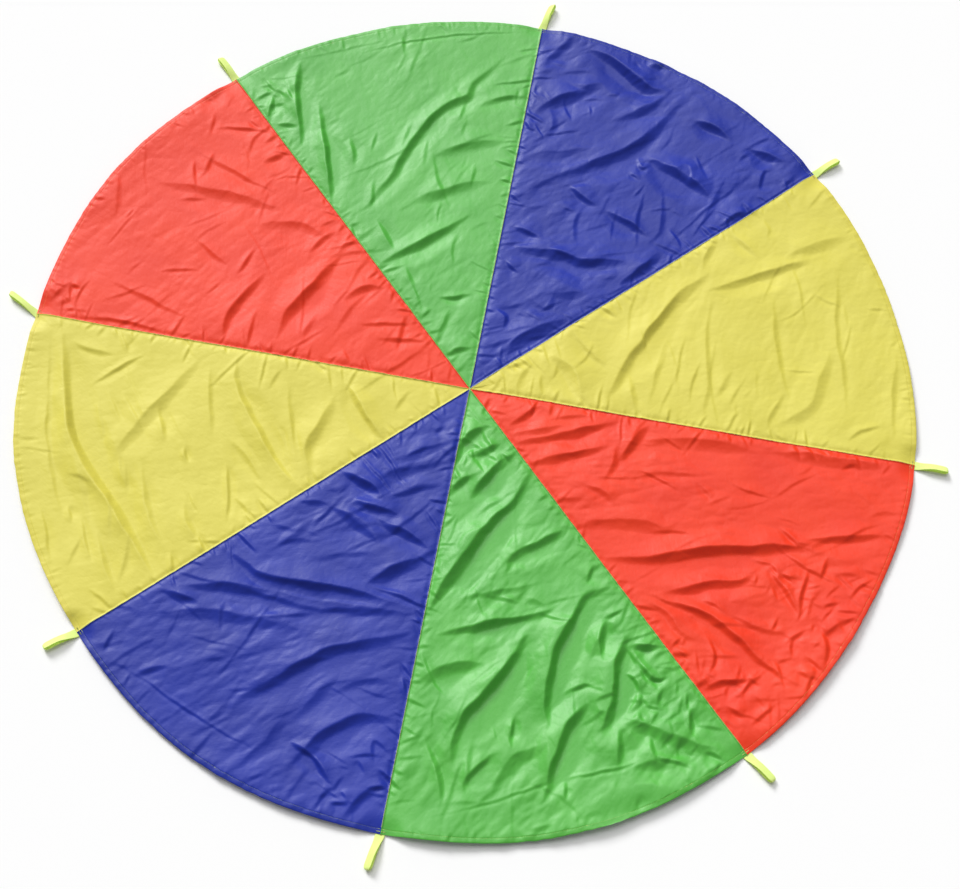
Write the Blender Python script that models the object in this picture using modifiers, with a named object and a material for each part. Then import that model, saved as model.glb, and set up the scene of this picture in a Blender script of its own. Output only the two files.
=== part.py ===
"""Play parachute of eight cloth gores, laid out face up on a floor.

Metres, +Z up. The origin is the centre of the canopy, on the floor. Seam 1 and handle 1 lie along +X, and
the seams, handles and gores are numbered anticlockwise from there, seen from above.
"""

import math

import bmesh
import bpy
import numpy as np
from mathutils import Vector

# Driving sizes of the canopy
CANOPY_RADIUS = 1.0
GORE_COUNT = 8
CLOTH = 0.0002
LAYER_GAP = 0.0003
HEM = 0.012
TIP_RADIUS = 0.0035
CLOTH_REST_GAP = 0.0002

# Webbing handles
WEBBING_WIDTH = 0.020
WEBBING = 0.0012
HANDLE_REACH = 0.075
LOOP_RISE = 0.0095
BIGHT_DEPTH = 0.006
TAIL_PAST_HEM = 0.008
TAIL_OUT = 0.0017
HINGE_GAP = 0.0003
SEAT_MARGIN = 0.001
TAIL_END_MARGIN = 0.004

# Threads
SEAM_THREAD_RADIUS = 0.0005
HEM_THREAD_RADIUS = 0.0004
TACK_THREAD_RADIUS = 0.0003
STITCH_INSET = 0.002
SEAM_THREAD_START = 0.008
SEAM_THREAD_STOP = 0.001
BAR_INSET = 0.005
BAR_START = 0.0015
BAR_SIDE_MARGIN = 0.001
BAR_SWING = 0.0008
BAR_TURNS = 8
CENTRE_TACK_RADIUS = 0.0045
CENTRE_TACK_HEIGHT = 0.0004
CENTRE_TACK_BEVEL = 0.0001
CENTRE_TACK_SIDES = 20

# Main folds of the cloth, as it lies in use
FOLD_RISE = 0.010
FOLD_WIDTH = 0.042
SEAT_FADE = 0.085
CENTRE_CALM = 0.12
FOLD_AXIS_CLEARANCE = 0.0035

# Points across and along one gore
COLUMNS = 10
BODY_ROWS = 13
ALLOWANCE_START = 0.040
ALLOWANCE_TIP_SHARE = 0.8
GRID_HALF_SHARE = 0.5

# Stack of layers at a handle, worked out upwards from the floor
GORE_ANGLE = 2 * math.pi / GORE_COUNT
LAYER_DROP = CLOTH + LAYER_GAP
LOWER_WEB_HEIGHT = WEBBING / 2
UPPER_WEB_HEIGHT = LOWER_WEB_HEIGHT + WEBBING + LAYER_GAP
SEAT_HEIGHT = UPPER_WEB_HEIGHT + WEBBING / 2 + LAYER_GAP + CLOTH / 2 + LAYER_DROP
OPEN_HEIGHT = CLOTH_REST_GAP + CLOTH / 2 + LAYER_DROP
HINGE_HEIGHT = SEAT_HEIGHT + CLOTH / 2
HINGE_RADIUS = CANOPY_RADIUS + TAIL_OUT + HINGE_GAP
SEAM_ALLOWANCE = WEBBING_WIDTH / 2 + SEAT_MARGIN
BAR_END = WEBBING_WIDTH / 2 - BAR_SIDE_MARGIN
EDGE_OFFSET = (CLOTH + LAYER_GAP) / 2
TAIL_LENGTH = HEM + TAIL_PAST_HEM
SEAT_RADIUS = CANOPY_RADIUS - TAIL_LENGTH - TAIL_END_MARGIN
LOOP_TOP = UPPER_WEB_HEIGHT + LOOP_RISE + WEBBING / 2
FOLD_AXIS_HEIGHT = max(LOOP_TOP, OPEN_HEIGHT + FOLD_RISE) + FOLD_AXIS_CLEARANCE

# How far each handle lies off its seam's line, seam 1 first
HANDLE_YAW_DEGREES = (-2, -3, -14, 2, -26, -5, -8, 7)

# Upper run of a loop, as shares of its reach and of its rise
LOOP_TOP_SHARES = (
    (0.00, 0.00), (0.05, 0.03), (0.13, 0.22), (0.24, 0.54), (0.38, 0.77), (0.55, 0.93), (0.72, 1.00),
    (0.86, 0.99),
)

# Turned end of a loop, as shares of its depth and of its height
BIGHT_SHARES = (
    (0.00, 0.00), (0.55, 0.06), (0.88, 0.20), (1.00, 0.36), (1.00, 0.64), (0.88, 0.80), (0.55, 0.94),
    (0.00, 1.00),
)

# Turned end of a tail, as a half circle of this many sides
TAIL_TURN_SIDES = 4

# Each main fold: its share of the full rise, and its line as shares of the canopy's radius
MAIN_FOLD_SHARES = (
    # Gore 1, yellow
    (0.6, ((0.78, 0.53), (0.47, 0.35))),
    (0.7, ((0.52, 0.39), (0.33, 0.08))),
    # Gore 2, blue
    (1.0, ((0.38, 0.91), (0.25, 0.72), (0.06, 0.60))),
    (0.8, ((0.13, 0.58), (0.34, 0.47))),
    (0.6, ((0.03, 0.37), (0.20, 0.36), (0.34, 0.42))),
    # Gore 3, green
    (1.0, ((-0.07, 0.91), (-0.20, 0.72), (-0.27, 0.56), (-0.35, 0.40))),
    (0.8, ((-0.08, 0.44), (-0.17, 0.36), (-0.26, 0.27))),
    (0.7, ((-0.54, 0.77), (-0.45, 0.58), (-0.40, 0.42))),
    # Gore 4, red
    (0.9, ((-0.36, 0.27), (-0.45, 0.08))),
    (0.6, ((-0.52, 0.22), (-0.57, 0.03))),
    (0.5, ((-0.74, 0.48), (-0.51, 0.39))),
    # Gore 5, yellow
    (1.0, ((-0.91, -0.05), (-0.86, -0.21), (-0.77, -0.34), (-0.59, -0.56))),
    (0.6, ((-0.60, -0.06), (-0.68, -0.18), (-0.74, -0.34))),
    (0.7, ((-0.53, -0.04), (-0.45, -0.15), (-0.34, -0.28))),
    # Gore 6, blue
    (1.0, ((-0.54, -0.56), (-0.30, -0.56), (-0.02, -0.54))),
    (0.8, ((-0.42, -0.82), (-0.27, -0.72), (-0.19, -0.65), (-0.02, -0.57))),
    (0.5, ((-0.21, -0.90), (-0.10, -0.78), (-0.01, -0.75))),
    (0.5, ((-0.02, -0.15), (-0.14, -0.30), (-0.23, -0.27))),
    # Gore 7, green
    (0.7, ((0.16, -0.21), (0.01, -0.53))),
    (0.8, ((0.37, -0.39), (0.29, -0.57), (0.30, -0.73))),
    (0.8, ((0.22, -0.53), (0.12, -0.82))),
    (0.6, ((0.43, -0.51), (0.41, -0.71))),
    # Gore 8, red
    (1.0, ((0.34, -0.34), (0.82, -0.24))),
    (0.8, ((0.48, -0.41), (0.78, -0.53))),
    (0.5, ((0.39, -0.04), (0.88, -0.04))),
)

GORE_COLOURS = ("yellow", "blue", "green", "red") * 2
FIRST_FAR_GORE, LAST_FAR_GORE = 1, 4
FIRST_FAR_SEAM, LAST_FAR_SEAM = 1, 5

# Linear colour and roughness of each material
FINISHES = {
    "yellow": ((0.78, 0.71, 0.14), 0.55),
    "blue": ((0.055, 0.067, 0.40), 0.45),
    "green": ((0.17, 0.55, 0.15), 0.55),
    "red": ((0.95, 0.10, 0.06), 0.55),
    "webbing": ((0.81, 1.0, 0.16), 0.70),
    "thread": ((0.70, 0.85, 0.30), 0.60),
}


def smooth(share):
    """A share from 0 to 1 eased at both ends."""
    held = min(1.0, max(0.0, share))
    return held * held * (3 - 2 * held)


def heading(angle):
    """Unit vector along the floor at an angle from +X."""
    return Vector((math.cos(angle), math.sin(angle), 0.0))


# Height of the laid-out cloth


def handle_seat(x, y):
    """1 where the cloth lies on the sewn ends of a handle, falling to 0 around them."""
    seam = heading(round(math.atan2(y, x) / GORE_ANGLE) * GORE_ANGLE)
    along = x * seam.x + y * seam.y
    across = abs(y * seam.x - x * seam.y)
    past_side = max(0.0, across - SEAM_ALLOWANCE)
    past_end = max(0.0, SEAT_RADIUS - along)
    return 1.0 - smooth(math.hypot(past_side, past_end) / SEAT_FADE)


def fold_relief(x, y):
    """Height of the tallest main fold over a point, with each fold tapered at its two ends."""
    tallest = 0.0
    for rise_share, line_shares in MAIN_FOLD_SHARES:
        line = [Vector(point) * CANOPY_RADIUS for point in line_shares]
        spans = [(end - start).length for start, end in zip(line, line[1:])]
        walked = 0.0
        for start, end, span in zip(line, line[1:], spans):
            place = Vector((x, y)) - start
            along = min(span, max(0.0, place.dot(end - start) / span))
            gap = (place - (end - start) * (along / span)).length
            taper = max(0.0, math.sin(math.pi * (walked + along) / sum(spans))) ** 0.5
            rise = rise_share * FOLD_RISE * taper * math.exp(-((gap / FOLD_WIDTH) ** 2))
            tallest = max(tallest, rise)
            walked += span
    return tallest


def cloth_height(x, y):
    """Height of the middle of the cloth's thickness over the floor."""
    seat = handle_seat(x, y)
    calm = smooth(math.hypot(x, y) / CENTRE_CALM)
    return OPEN_HEIGHT + (SEAT_HEIGHT - OPEN_HEIGHT) * seat + fold_relief(x, y) * calm * (1 - seat)


def row_radii():
    """Radius of each row of a gore's points: its tip, the even rows, the hem's inner edge and the rim."""
    span = SEAT_RADIUS - ALLOWANCE_START
    even = [ALLOWANCE_START + span * row / BODY_ROWS for row in range(BODY_ROWS + 1)]
    return [TIP_RADIUS, *even, CANOPY_RADIUS - HEM, CANOPY_RADIUS]


def column_bearing(radius, column):
    """Angle from a gore's first seam to one of its points: edge, allowance and even columns between."""
    widest = ALLOWANCE_TIP_SHARE * radius * math.sin(GORE_ANGLE / 2)
    edge = math.asin(EDGE_OFFSET / radius)
    allowance = math.asin(min(SEAM_ALLOWANCE, widest) / radius)
    from_end = min(column, COLUMNS - column)
    if from_end == 0:
        bearing = edge
    elif from_end == 1:
        bearing = allowance
    else:
        bearing = allowance + (GORE_ANGLE - 2 * allowance) * (from_end - 1) / (COLUMNS - 2)
    return bearing if column <= COLUMNS / 2 else GORE_ANGLE - bearing


def cloth_point(gore, row, column):
    """A gore's point in the middle of its cloth."""
    radius = row_radii()[row]
    flat = heading((gore - 1) * GORE_ANGLE + column_bearing(radius, column)) * radius
    return Vector((flat.x, flat.y, cloth_height(flat.x, flat.y)))


# Scene helpers


def material(name, colour, roughness):
    """A Principled material with one colour."""
    made = bpy.data.materials.new(name)
    made.use_nodes = True
    shader = made.node_tree.nodes["Principled BSDF"]
    shader.inputs["Base Color"].default_value = (*colour, 1.0)
    shader.inputs["Roughness"].default_value = roughness
    shader.inputs["Metallic"].default_value = 0.0
    return made


def add_object(name, data, finish, parent, place=(0.0, 0.0, 0.0), turn=0.0):
    """Put an object in the collection at a world place and bearing, under its parent."""
    made = bpy.data.objects.new(name, data)
    bpy.data.collections["play_parachute"].objects.link(made)
    colour, roughness = FINISHES[finish]
    data.materials.append(material(f"{name}_{finish}", colour, roughness))
    made.parent = parent
    made.location = Vector(place) - parent.location
    made.rotation_euler.z = turn
    return made


def add_pivot(name, place=(0.0, 0.0, 0.0), parent=None):
    """An empty that carries the pieces of one moving body."""
    pivot = bpy.data.objects.new(name, None)
    bpy.data.collections["play_parachute"].objects.link(pivot)
    pivot.location = place
    pivot.parent = parent
    return pivot


def mesh_from(name, bm):
    """Finish a bmesh as a mesh of the same name."""
    bmesh.ops.recalc_face_normals(bm, faces=bm.faces)
    mesh = bpy.data.meshes.new(name)
    bm.to_mesh(mesh)
    bm.free()
    return mesh


def thicken(made, thickness):
    """Give an open sheet its thickness, half to each side."""
    solid = made.modifiers.new("thickness", "SOLIDIFY")
    solid.thickness = thickness
    solid.offset = 0.0
    solid.use_even_offset = True


def add_thread(name, points, radius, parent):
    """A line of stitching as one filled tube."""
    curve = bpy.data.curves.new(name, "CURVE")
    curve.dimensions = "3D"
    curve.bevel_depth = radius
    curve.bevel_resolution = 1
    curve.use_fill_caps = True
    spline = curve.splines.new("POLY")
    spline.points.add(len(points) - 1)
    for target, point in zip(spline.points, points):
        target.co = (*point, 1.0)
    return add_object(name, curve, "thread", parent)


# Gores


def extruded(bm, edges, station):
    """Extrude open edges in place. Gives the new points by station, and the new edges."""
    geometry = bmesh.ops.extrude_edge_only(bm, edges=edges)["geom"]
    points = [item for item in geometry if isinstance(item, bmesh.types.BMVert)]
    new = set(points)
    far_edges = [
        item for item in geometry if isinstance(item, bmesh.types.BMEdge) and new.issuperset(item.verts)
    ]
    return {point[station]: point for point in points}, far_edges


def turn_under(bm, grid, station, keys, inner_step):
    """Fold a run of the gore's edge down and back beneath it, as far as the next row or column."""
    edges = [bm.edges.get((grid[a], grid[b])) for a, b in zip(keys, keys[1:])]
    wall, edges = extruded(bm, edges, station)
    for point in wall.values():
        point.co.z -= LAYER_DROP
    flap, _ = extruded(bm, edges, station)
    for key, point in flap.items():
        point.co = grid[key + inner_step].co
        point.co.z -= LAYER_DROP


def gore_mesh(name, gore):
    """One gore: its sheet, and its seam allowances and hem turned under."""
    rows = len(row_radii()) - 1
    width = COLUMNS + 1
    bm = bmesh.new()
    station = bm.verts.layers.int.new("station")
    bmesh.ops.create_grid(bm, x_segments=COLUMNS, y_segments=rows, size=GRID_HALF_SHARE)
    grid = {}
    for point in bm.verts:
        column = round((point.co.x + GRID_HALF_SHARE) * COLUMNS)
        row = round((point.co.y + GRID_HALF_SHARE) * rows)
        point.co = cloth_point(gore, row, column)
        point[station] = row * width + column
        grid[point[station]] = point
    allowance_rows = range(1, rows - 1)
    turn_under(bm, grid, station, [row * width for row in allowance_rows], 1)
    turn_under(bm, grid, station, [row * width + COLUMNS for row in allowance_rows], -1)
    turn_under(bm, grid, station, [rows * width + column for column in range(width)], -width)
    return mesh_from(name, bm)


def add_gore(gore, parent):
    """One coloured gore."""
    colour = GORE_COLOURS[gore - 1]
    name = f"gore_{gore}_{colour}"
    made = add_object(name, gore_mesh(name, gore), colour, parent)
    thicken(made, CLOTH)


# Stitching


def thread_height(radius):
    """How far a thread's middle lies over the middle of the cloth."""
    return Vector((0.0, 0.0, CLOTH / 2 + LAYER_GAP + radius))


def add_seam_stitching(seam, parent):
    """The line of stitching along one seam, from the centre to the hem."""
    direction = heading((seam - 1) * GORE_ANGLE)
    radii = row_radii()
    heights = [cloth_height(*(direction.xy * radius)) for radius in radii]
    last = CANOPY_RADIUS - HEM - SEAM_THREAD_STOP
    stops = [SEAM_THREAD_START, *radii[1:-2], last]
    points = [
        direction * radius + Vector((0, 0, float(np.interp(radius, radii, heights)))) for radius in stops
    ]
    lift = thread_height(SEAM_THREAD_RADIUS)
    add_thread(f"seam_stitching_{seam}", [point + lift for point in points], SEAM_THREAD_RADIUS, parent)


def add_hem_stitching(gore, parent):
    """The row that holds one gore's hem and catches the handles' ends at its two seams."""
    rows = len(row_radii()) - 1
    share = STITCH_INSET / HEM
    lift = thread_height(HEM_THREAD_RADIUS)
    points = [
        cloth_point(gore, rows - 1, column).lerp(cloth_point(gore, rows, column), share) + lift
        for column in range(COLUMNS + 1)
    ]
    add_thread(f"hem_stitching_{gore}", points, HEM_THREAD_RADIUS, parent)


def add_bar_tack(seam, side, parent):
    """A short zigzag bar over one half of a handle's sewn ends."""
    direction = heading((seam - 1) * GORE_ANGLE)
    sideways = heading((seam - 1) * GORE_ANGLE + math.pi / 2) * (1 if side == "left" else -1)
    lift = thread_height(TACK_THREAD_RADIUS) + Vector((0.0, 0.0, SEAT_HEIGHT))
    points = []
    for turn in range(BAR_TURNS + 1):
        across = BAR_START + (BAR_END - BAR_START) * turn / BAR_TURNS
        swing = BAR_SWING if turn % 2 else -BAR_SWING
        points.append(direction * (CANOPY_RADIUS - BAR_INSET + swing) + sideways * across + lift)
    add_thread(f"bar_tack_{seam}_{side}", points, TACK_THREAD_RADIUS, parent)


def add_centre_tack(parent):
    """The flat knot of thread under the eight tips."""
    bm = bmesh.new()
    bmesh.ops.create_cone(
        bm, cap_ends=True, segments=CENTRE_TACK_SIDES, radius1=CENTRE_TACK_RADIUS,
        radius2=CENTRE_TACK_RADIUS, depth=CENTRE_TACK_HEIGHT,
    )
    mesh = mesh_from("centre_tack", bm)
    made = add_object("centre_tack", mesh, "thread", parent, (0.0, 0.0, CENTRE_TACK_HEIGHT / 2))
    rounding = made.modifiers.new("rounding", "BEVEL")
    rounding.width = CENTRE_TACK_BEVEL


# Webbing


def webbing_mesh(name, path, slope):
    """A strip of webbing along a path of (reach, height), drawn sideways by a slope as it goes out."""
    bm = bmesh.new()
    near = [bm.verts.new((reach, slope * reach - WEBBING_WIDTH / 2, height)) for reach, height in path]
    edges = [bm.edges.new(pair) for pair in zip(near, near[1:])]
    across = bmesh.ops.extrude_edge_only(bm, edges=edges)["geom"]
    far = [item for item in across if isinstance(item, bmesh.types.BMVert)]
    bmesh.ops.translate(bm, verts=far, vec=(0.0, WEBBING_WIDTH, 0.0))
    return mesh_from(name, bm)


def loop_path():
    """Reach and height of a loop's webbing from its hinge: out along the floor, round and back over."""
    span = HANDLE_REACH - TAIL_OUT - HINGE_GAP - WEBBING / 2
    bight_foot = span - BIGHT_DEPTH
    end_height = UPPER_WEB_HEIGHT + LOOP_RISE * LOOP_TOP_SHARES[-1][1]
    path = [(HINGE_GAP, LOWER_WEB_HEIGHT)]
    for reach_share, height_share in BIGHT_SHARES:
        height = LOWER_WEB_HEIGHT + (end_height - LOWER_WEB_HEIGHT) * height_share
        path.append((bight_foot + BIGHT_DEPTH * reach_share, height))
    for reach_share, rise_share in reversed(LOOP_TOP_SHARES):
        reach = HINGE_GAP + (span - HINGE_GAP) * reach_share
        path.append((reach, UPPER_WEB_HEIGHT + LOOP_RISE * rise_share))
    return [(reach, height - HINGE_HEIGHT) for reach, height in path]


def tail_path():
    """Reach and height of the sewn-in ends from the rim: in along the floor, closed, and back out."""
    half_gap = (UPPER_WEB_HEIGHT - LOWER_WEB_HEIGHT) / 2
    turn_middle = LOWER_WEB_HEIGHT + half_gap
    path = [(TAIL_OUT, LOWER_WEB_HEIGHT)]
    for side in range(TAIL_TURN_SIDES + 1):
        angle = math.pi * side / TAIL_TURN_SIDES
        reach = half_gap + WEBBING / 2 - TAIL_LENGTH - half_gap * math.sin(angle)
        path.append((reach, turn_middle - half_gap * math.cos(angle)))
    return [*path, (TAIL_OUT, UPPER_WEB_HEIGHT)]


def add_tail(seam, parent):
    """The two sewn-in ends of one handle, heat-sealed together at their tips."""
    angle = (seam - 1) * GORE_ANGLE
    mesh = webbing_mesh(f"handle_tail_{seam}", tail_path(), 0.0)
    made = add_object(f"handle_tail_{seam}", mesh, "webbing", parent, heading(angle) * CANOPY_RADIUS, angle)
    thicken(made, WEBBING)


def add_loop(seam, half):
    """The free loop of one handle, on its hinge at the edge of the hem."""
    angle = (seam - 1) * GORE_ANGLE
    hinge = heading(angle) * HINGE_RADIUS + Vector((0.0, 0.0, HINGE_HEIGHT))
    pivot = add_pivot(f"handle_{seam}_hinge", hinge - half.location, half)
    slope = math.tan(math.radians(HANDLE_YAW_DEGREES[seam - 1]))
    mesh = webbing_mesh(f"handle_loop_{seam}", loop_path(), slope)
    made = add_object(f"handle_loop_{seam}", mesh, "webbing", pivot, pivot.location, angle)
    thicken(made, WEBBING)


# Whole canopy


def clear_scene():
    """Remove what the scene holds and make the part's collection."""
    for old in list(bpy.data.objects):
        bpy.data.objects.remove(old)
    collection = bpy.data.collections.new("play_parachute")
    bpy.context.scene.collection.children.link(collection)


def build():
    """Build the far half, the near half that folds over it, and the handles."""
    clear_scene()
    far = add_pivot("far_half")
    near = add_pivot("near_half_crease", (0.0, 0.0, FOLD_AXIS_HEIGHT), far)
    for gore in range(1, GORE_COUNT + 1):
        half = far if FIRST_FAR_GORE <= gore <= LAST_FAR_GORE else near
        add_gore(gore, half)
        add_hem_stitching(gore, half)
        add_bar_tack(gore, "left", half)
        add_bar_tack(gore % GORE_COUNT + 1, "right", half)
    for seam in range(1, GORE_COUNT + 1):
        half = far if FIRST_FAR_SEAM <= seam <= LAST_FAR_SEAM else near
        add_seam_stitching(seam, half)
        add_tail(seam, half)
        add_loop(seam, half)
    add_centre_tack(far)


build()
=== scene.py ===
"""Looks of a round play parachute: eight taffeta gores laid out on a pale floor, with stitching and handles.

Metres, +Z up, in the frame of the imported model. Seam 1 lies along +X, and gore 1 lies anticlockwise of it.
"""

from __future__ import annotations

import logging
import math
from dataclasses import dataclass, field, replace
from enum import Enum

import bpy
import numpy as np
from mathutils import Matrix, Vector


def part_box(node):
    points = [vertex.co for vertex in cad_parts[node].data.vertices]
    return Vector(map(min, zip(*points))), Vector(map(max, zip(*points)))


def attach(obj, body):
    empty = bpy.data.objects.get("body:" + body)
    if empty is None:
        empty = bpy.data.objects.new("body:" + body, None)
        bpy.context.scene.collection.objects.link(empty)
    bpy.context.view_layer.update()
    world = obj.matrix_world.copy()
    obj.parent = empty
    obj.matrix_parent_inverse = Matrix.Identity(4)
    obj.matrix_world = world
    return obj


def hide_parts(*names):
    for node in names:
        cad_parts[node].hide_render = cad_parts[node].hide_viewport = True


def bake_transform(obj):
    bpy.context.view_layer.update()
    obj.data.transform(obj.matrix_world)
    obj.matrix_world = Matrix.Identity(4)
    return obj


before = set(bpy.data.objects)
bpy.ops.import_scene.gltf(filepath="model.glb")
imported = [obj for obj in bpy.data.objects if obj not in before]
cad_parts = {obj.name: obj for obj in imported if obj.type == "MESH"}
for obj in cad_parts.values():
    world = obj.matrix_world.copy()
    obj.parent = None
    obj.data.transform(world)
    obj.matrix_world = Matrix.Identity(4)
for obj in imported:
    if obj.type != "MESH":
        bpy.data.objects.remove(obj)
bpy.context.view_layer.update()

LOG = logging.getLogger("play_parachute")
MM = 0.001
PHOTO_WIDTH_PX = 960

GORE_COUNT = 8
GORE_ANGLE = 2 * math.pi / GORE_COUNT
# The canopy folds along the line of seams 1 and 5, and gores 1 to 4 are its far half
HALF_COUNT = GORE_COUNT // 2
FAR_HALF = "far_half"
NEAR_HALF = "near_half"

# Where the key light stands in plan
LIGHT_BEARING = math.radians(128)

Points = np.ndarray
Faces = list[tuple[int, ...]]
Shell = tuple[Points, Faces]
FoldLine = tuple[tuple[float, float], ...]
Node = bpy.types.Node


def linear(hex_code: str) -> tuple[float, float, float, float]:
    """Turn an sRGB hex colour into the linear colour that shaders take.

    Args:
        hex_code: Six hex digits, with or without a leading hash.

    Returns:
        Linear red, green and blue, and an alpha of 1.
    """
    digits = hex_code.lstrip("#")
    parts = [int(digits[at : at + 2], 16) / 255 for at in (0, 2, 4)]
    red, green, blue = (
        part / 12.92 if part <= 0.04045 else ((part + 0.055) / 1.055) ** 2.4 for part in parts
    )
    return (red, green, blue, 1.0)


def add_node(tree: bpy.types.NodeTree, kind: str, inputs: dict | None = None, **settings: object) -> Node:
    """Add one shader node with its settings, values and links.

    Args:
        tree: The node tree that gets the node.
        kind: Blender's name of the node type, without its leading ShaderNode.
        inputs: Value or source socket for each input, by the input's name or number.
        **settings: Properties of the node itself.

    Returns:
        The new node.
    """
    node = tree.nodes.new(f"ShaderNode{kind}")
    for name, value in settings.items():
        setattr(node, name, value)
    for socket, value in (inputs or {}).items():
        if isinstance(value, bpy.types.NodeSocket):
            tree.links.new(value, node.inputs[socket])
        else:
            node.inputs[socket].default_value = value
    return node


def wave_scale(period: float) -> float:
    """Scale of a wave texture with one band to a period, as a scale of 1 gives 10 / pi bands a metre."""
    return math.pi / (10 * period)


def eased(share: Points) -> Points:
    """Ease shares from 0 to 1 at both ends, holding them inside that range."""
    held = np.clip(share, 0.0, 1.0)
    return held * held * (3 - 2 * held)


def heading(bearing: float) -> Points:
    """Unit vector in plan at a bearing."""
    return np.array([math.cos(bearing), math.sin(bearing)])


def polar(reach: Points | float, bearing: Points) -> tuple[Points, Points]:
    """Coordinates in plan of points at these radii and bearings."""
    return reach * np.cos(bearing), reach * np.sin(bearing)


def turned(along: Points | float, across: Points | float, bearing: float) -> tuple[Points, Points]:
    """Coordinates in plan of points that are placed along and across a line at a bearing."""
    cosine, sine = math.cos(bearing), math.sin(bearing)
    return along * cosine - across * sine, along * sine + across * cosine


def rounded(line: Points, step: float) -> Points:
    """Lay a smooth curve through the corners of a line.

    Args:
        line: The corners, one a row.
        step: The distance between the curve's points.

    Returns:
        The curve's points, about a step apart.
    """
    line = np.asarray(line, float)
    ends = np.vstack([2 * line[0] - line[1], line, 2 * line[-1] - line[-2]])
    runs = []
    for before, start, stop, after in zip(ends, ends[1:], ends[2:], ends[3:]):
        count = max(1, math.ceil(np.linalg.norm(stop - start) / step))
        t = (np.arange(count) / count)[:, None]
        runs.append(
            start
            + 0.5 * t * (stop - before)
            + t**2 * (before - 2.5 * start + 2 * stop - 0.5 * after)
            + t**3 * (1.5 * (start - stop) + 0.5 * (after - before))
        )
    return np.vstack([*runs, line[-1]])


class GradientNoise:
    """Smooth seeded noise over a plane, from about -0.7 to 0.7, with one wave to a unit."""

    SIZE = 256

    def __init__(self, seed: int) -> None:
        """Draw the slopes of the lattice from a seed."""
        angles = np.random.default_rng(seed).uniform(0, 2 * math.pi, (self.SIZE, self.SIZE))
        self.slopes = np.stack([np.cos(angles), np.sin(angles)])

    def __call__(self, x: Points, y: Points) -> Points:
        """Give the noise at each point.

        Args:
            x: First coordinates, in waves.
            y: Second coordinates, in waves.

        Returns:
            The noise, one value a point.
        """
        x, y = np.broadcast_arrays(np.asarray(x, float), np.asarray(y, float))
        column, row = np.floor(x).astype(int), np.floor(y).astype(int)
        u, v = x - column, y - row
        ease_u = u**3 * (u * (u * 6 - 15) + 10)
        ease_v = v**3 * (v * (v * 6 - 15) + 10)

        def corner(right: int, up: int) -> Points:
            """Give the height at each point of the slope of one corner of its cell."""
            slope = self.slopes[:, (column + right) % self.SIZE, (row + up) % self.SIZE]
            return slope[0] * (u - right) + slope[1] * (v - up)

        low = corner(0, 0) * (1 - ease_u) + corner(1, 0) * ease_u
        high = corner(0, 1) * (1 - ease_u) + corner(1, 1) * ease_u
        return low * (1 - ease_v) + high * ease_v


class FacetNoise:
    """Flat-sided facets that meet in sharp creases, one to a unit and from 0 to about 1 high."""

    SIZE = 256

    def __init__(self, seed: int) -> None:
        """Scatter the middles of the facets from a seed."""
        self.middles = np.random.default_rng(seed).uniform(0, 1, (2, self.SIZE, self.SIZE))

    def __call__(self, x: Points, y: Points) -> Points:
        """Give the height at each point: how much farther the second nearest middle is than the nearest.

        Args:
            x: First coordinates, in facets.
            y: Second coordinates, in facets.

        Returns:
            The height, one value a point.
        """
        column, row = np.floor(x).astype(int), np.floor(y).astype(int)
        nearest = np.full(x.shape, np.inf)
        second = np.full(x.shape, np.inf)
        for right in (-1, 0, 1):
            for up in (-1, 0, 1):
                middle = self.middles[:, (column + right) % self.SIZE, (row + up) % self.SIZE]
                gap = np.hypot(column + right + middle[0] - x, row + up + middle[1] - y)
                second = np.minimum(second, np.maximum(nearest, gap))
                nearest = np.minimum(nearest, gap)
        return second - nearest


# Folds of the cloth, as the photograph shows them


@dataclass(frozen=True)
class FoldShape:
    """Cross-section of a fold: the width of its shaded side, how steep that is, and its lit side's width."""

    shaded: float
    slope: float
    lit: float


class FoldKind(Enum):
    """The folds told apart in the photograph."""

    BROAD = FoldShape(36 * MM, 0.36, 70 * MM)
    STRONG = FoldShape(29 * MM, 0.54, 52 * MM)
    CLEAR = FoldShape(19 * MM, 0.48, 36 * MM)
    SOFT = FoldShape(28 * MM, 0.24, 50 * MM)
    NARROW = FoldShape(9 * MM, 0.48, 16 * MM)
    FAINT = FoldShape(13 * MM, 0.24, 24 * MM)
    PRESSED = FoldShape(6 * MM, 0.36, 6 * MM)


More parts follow.
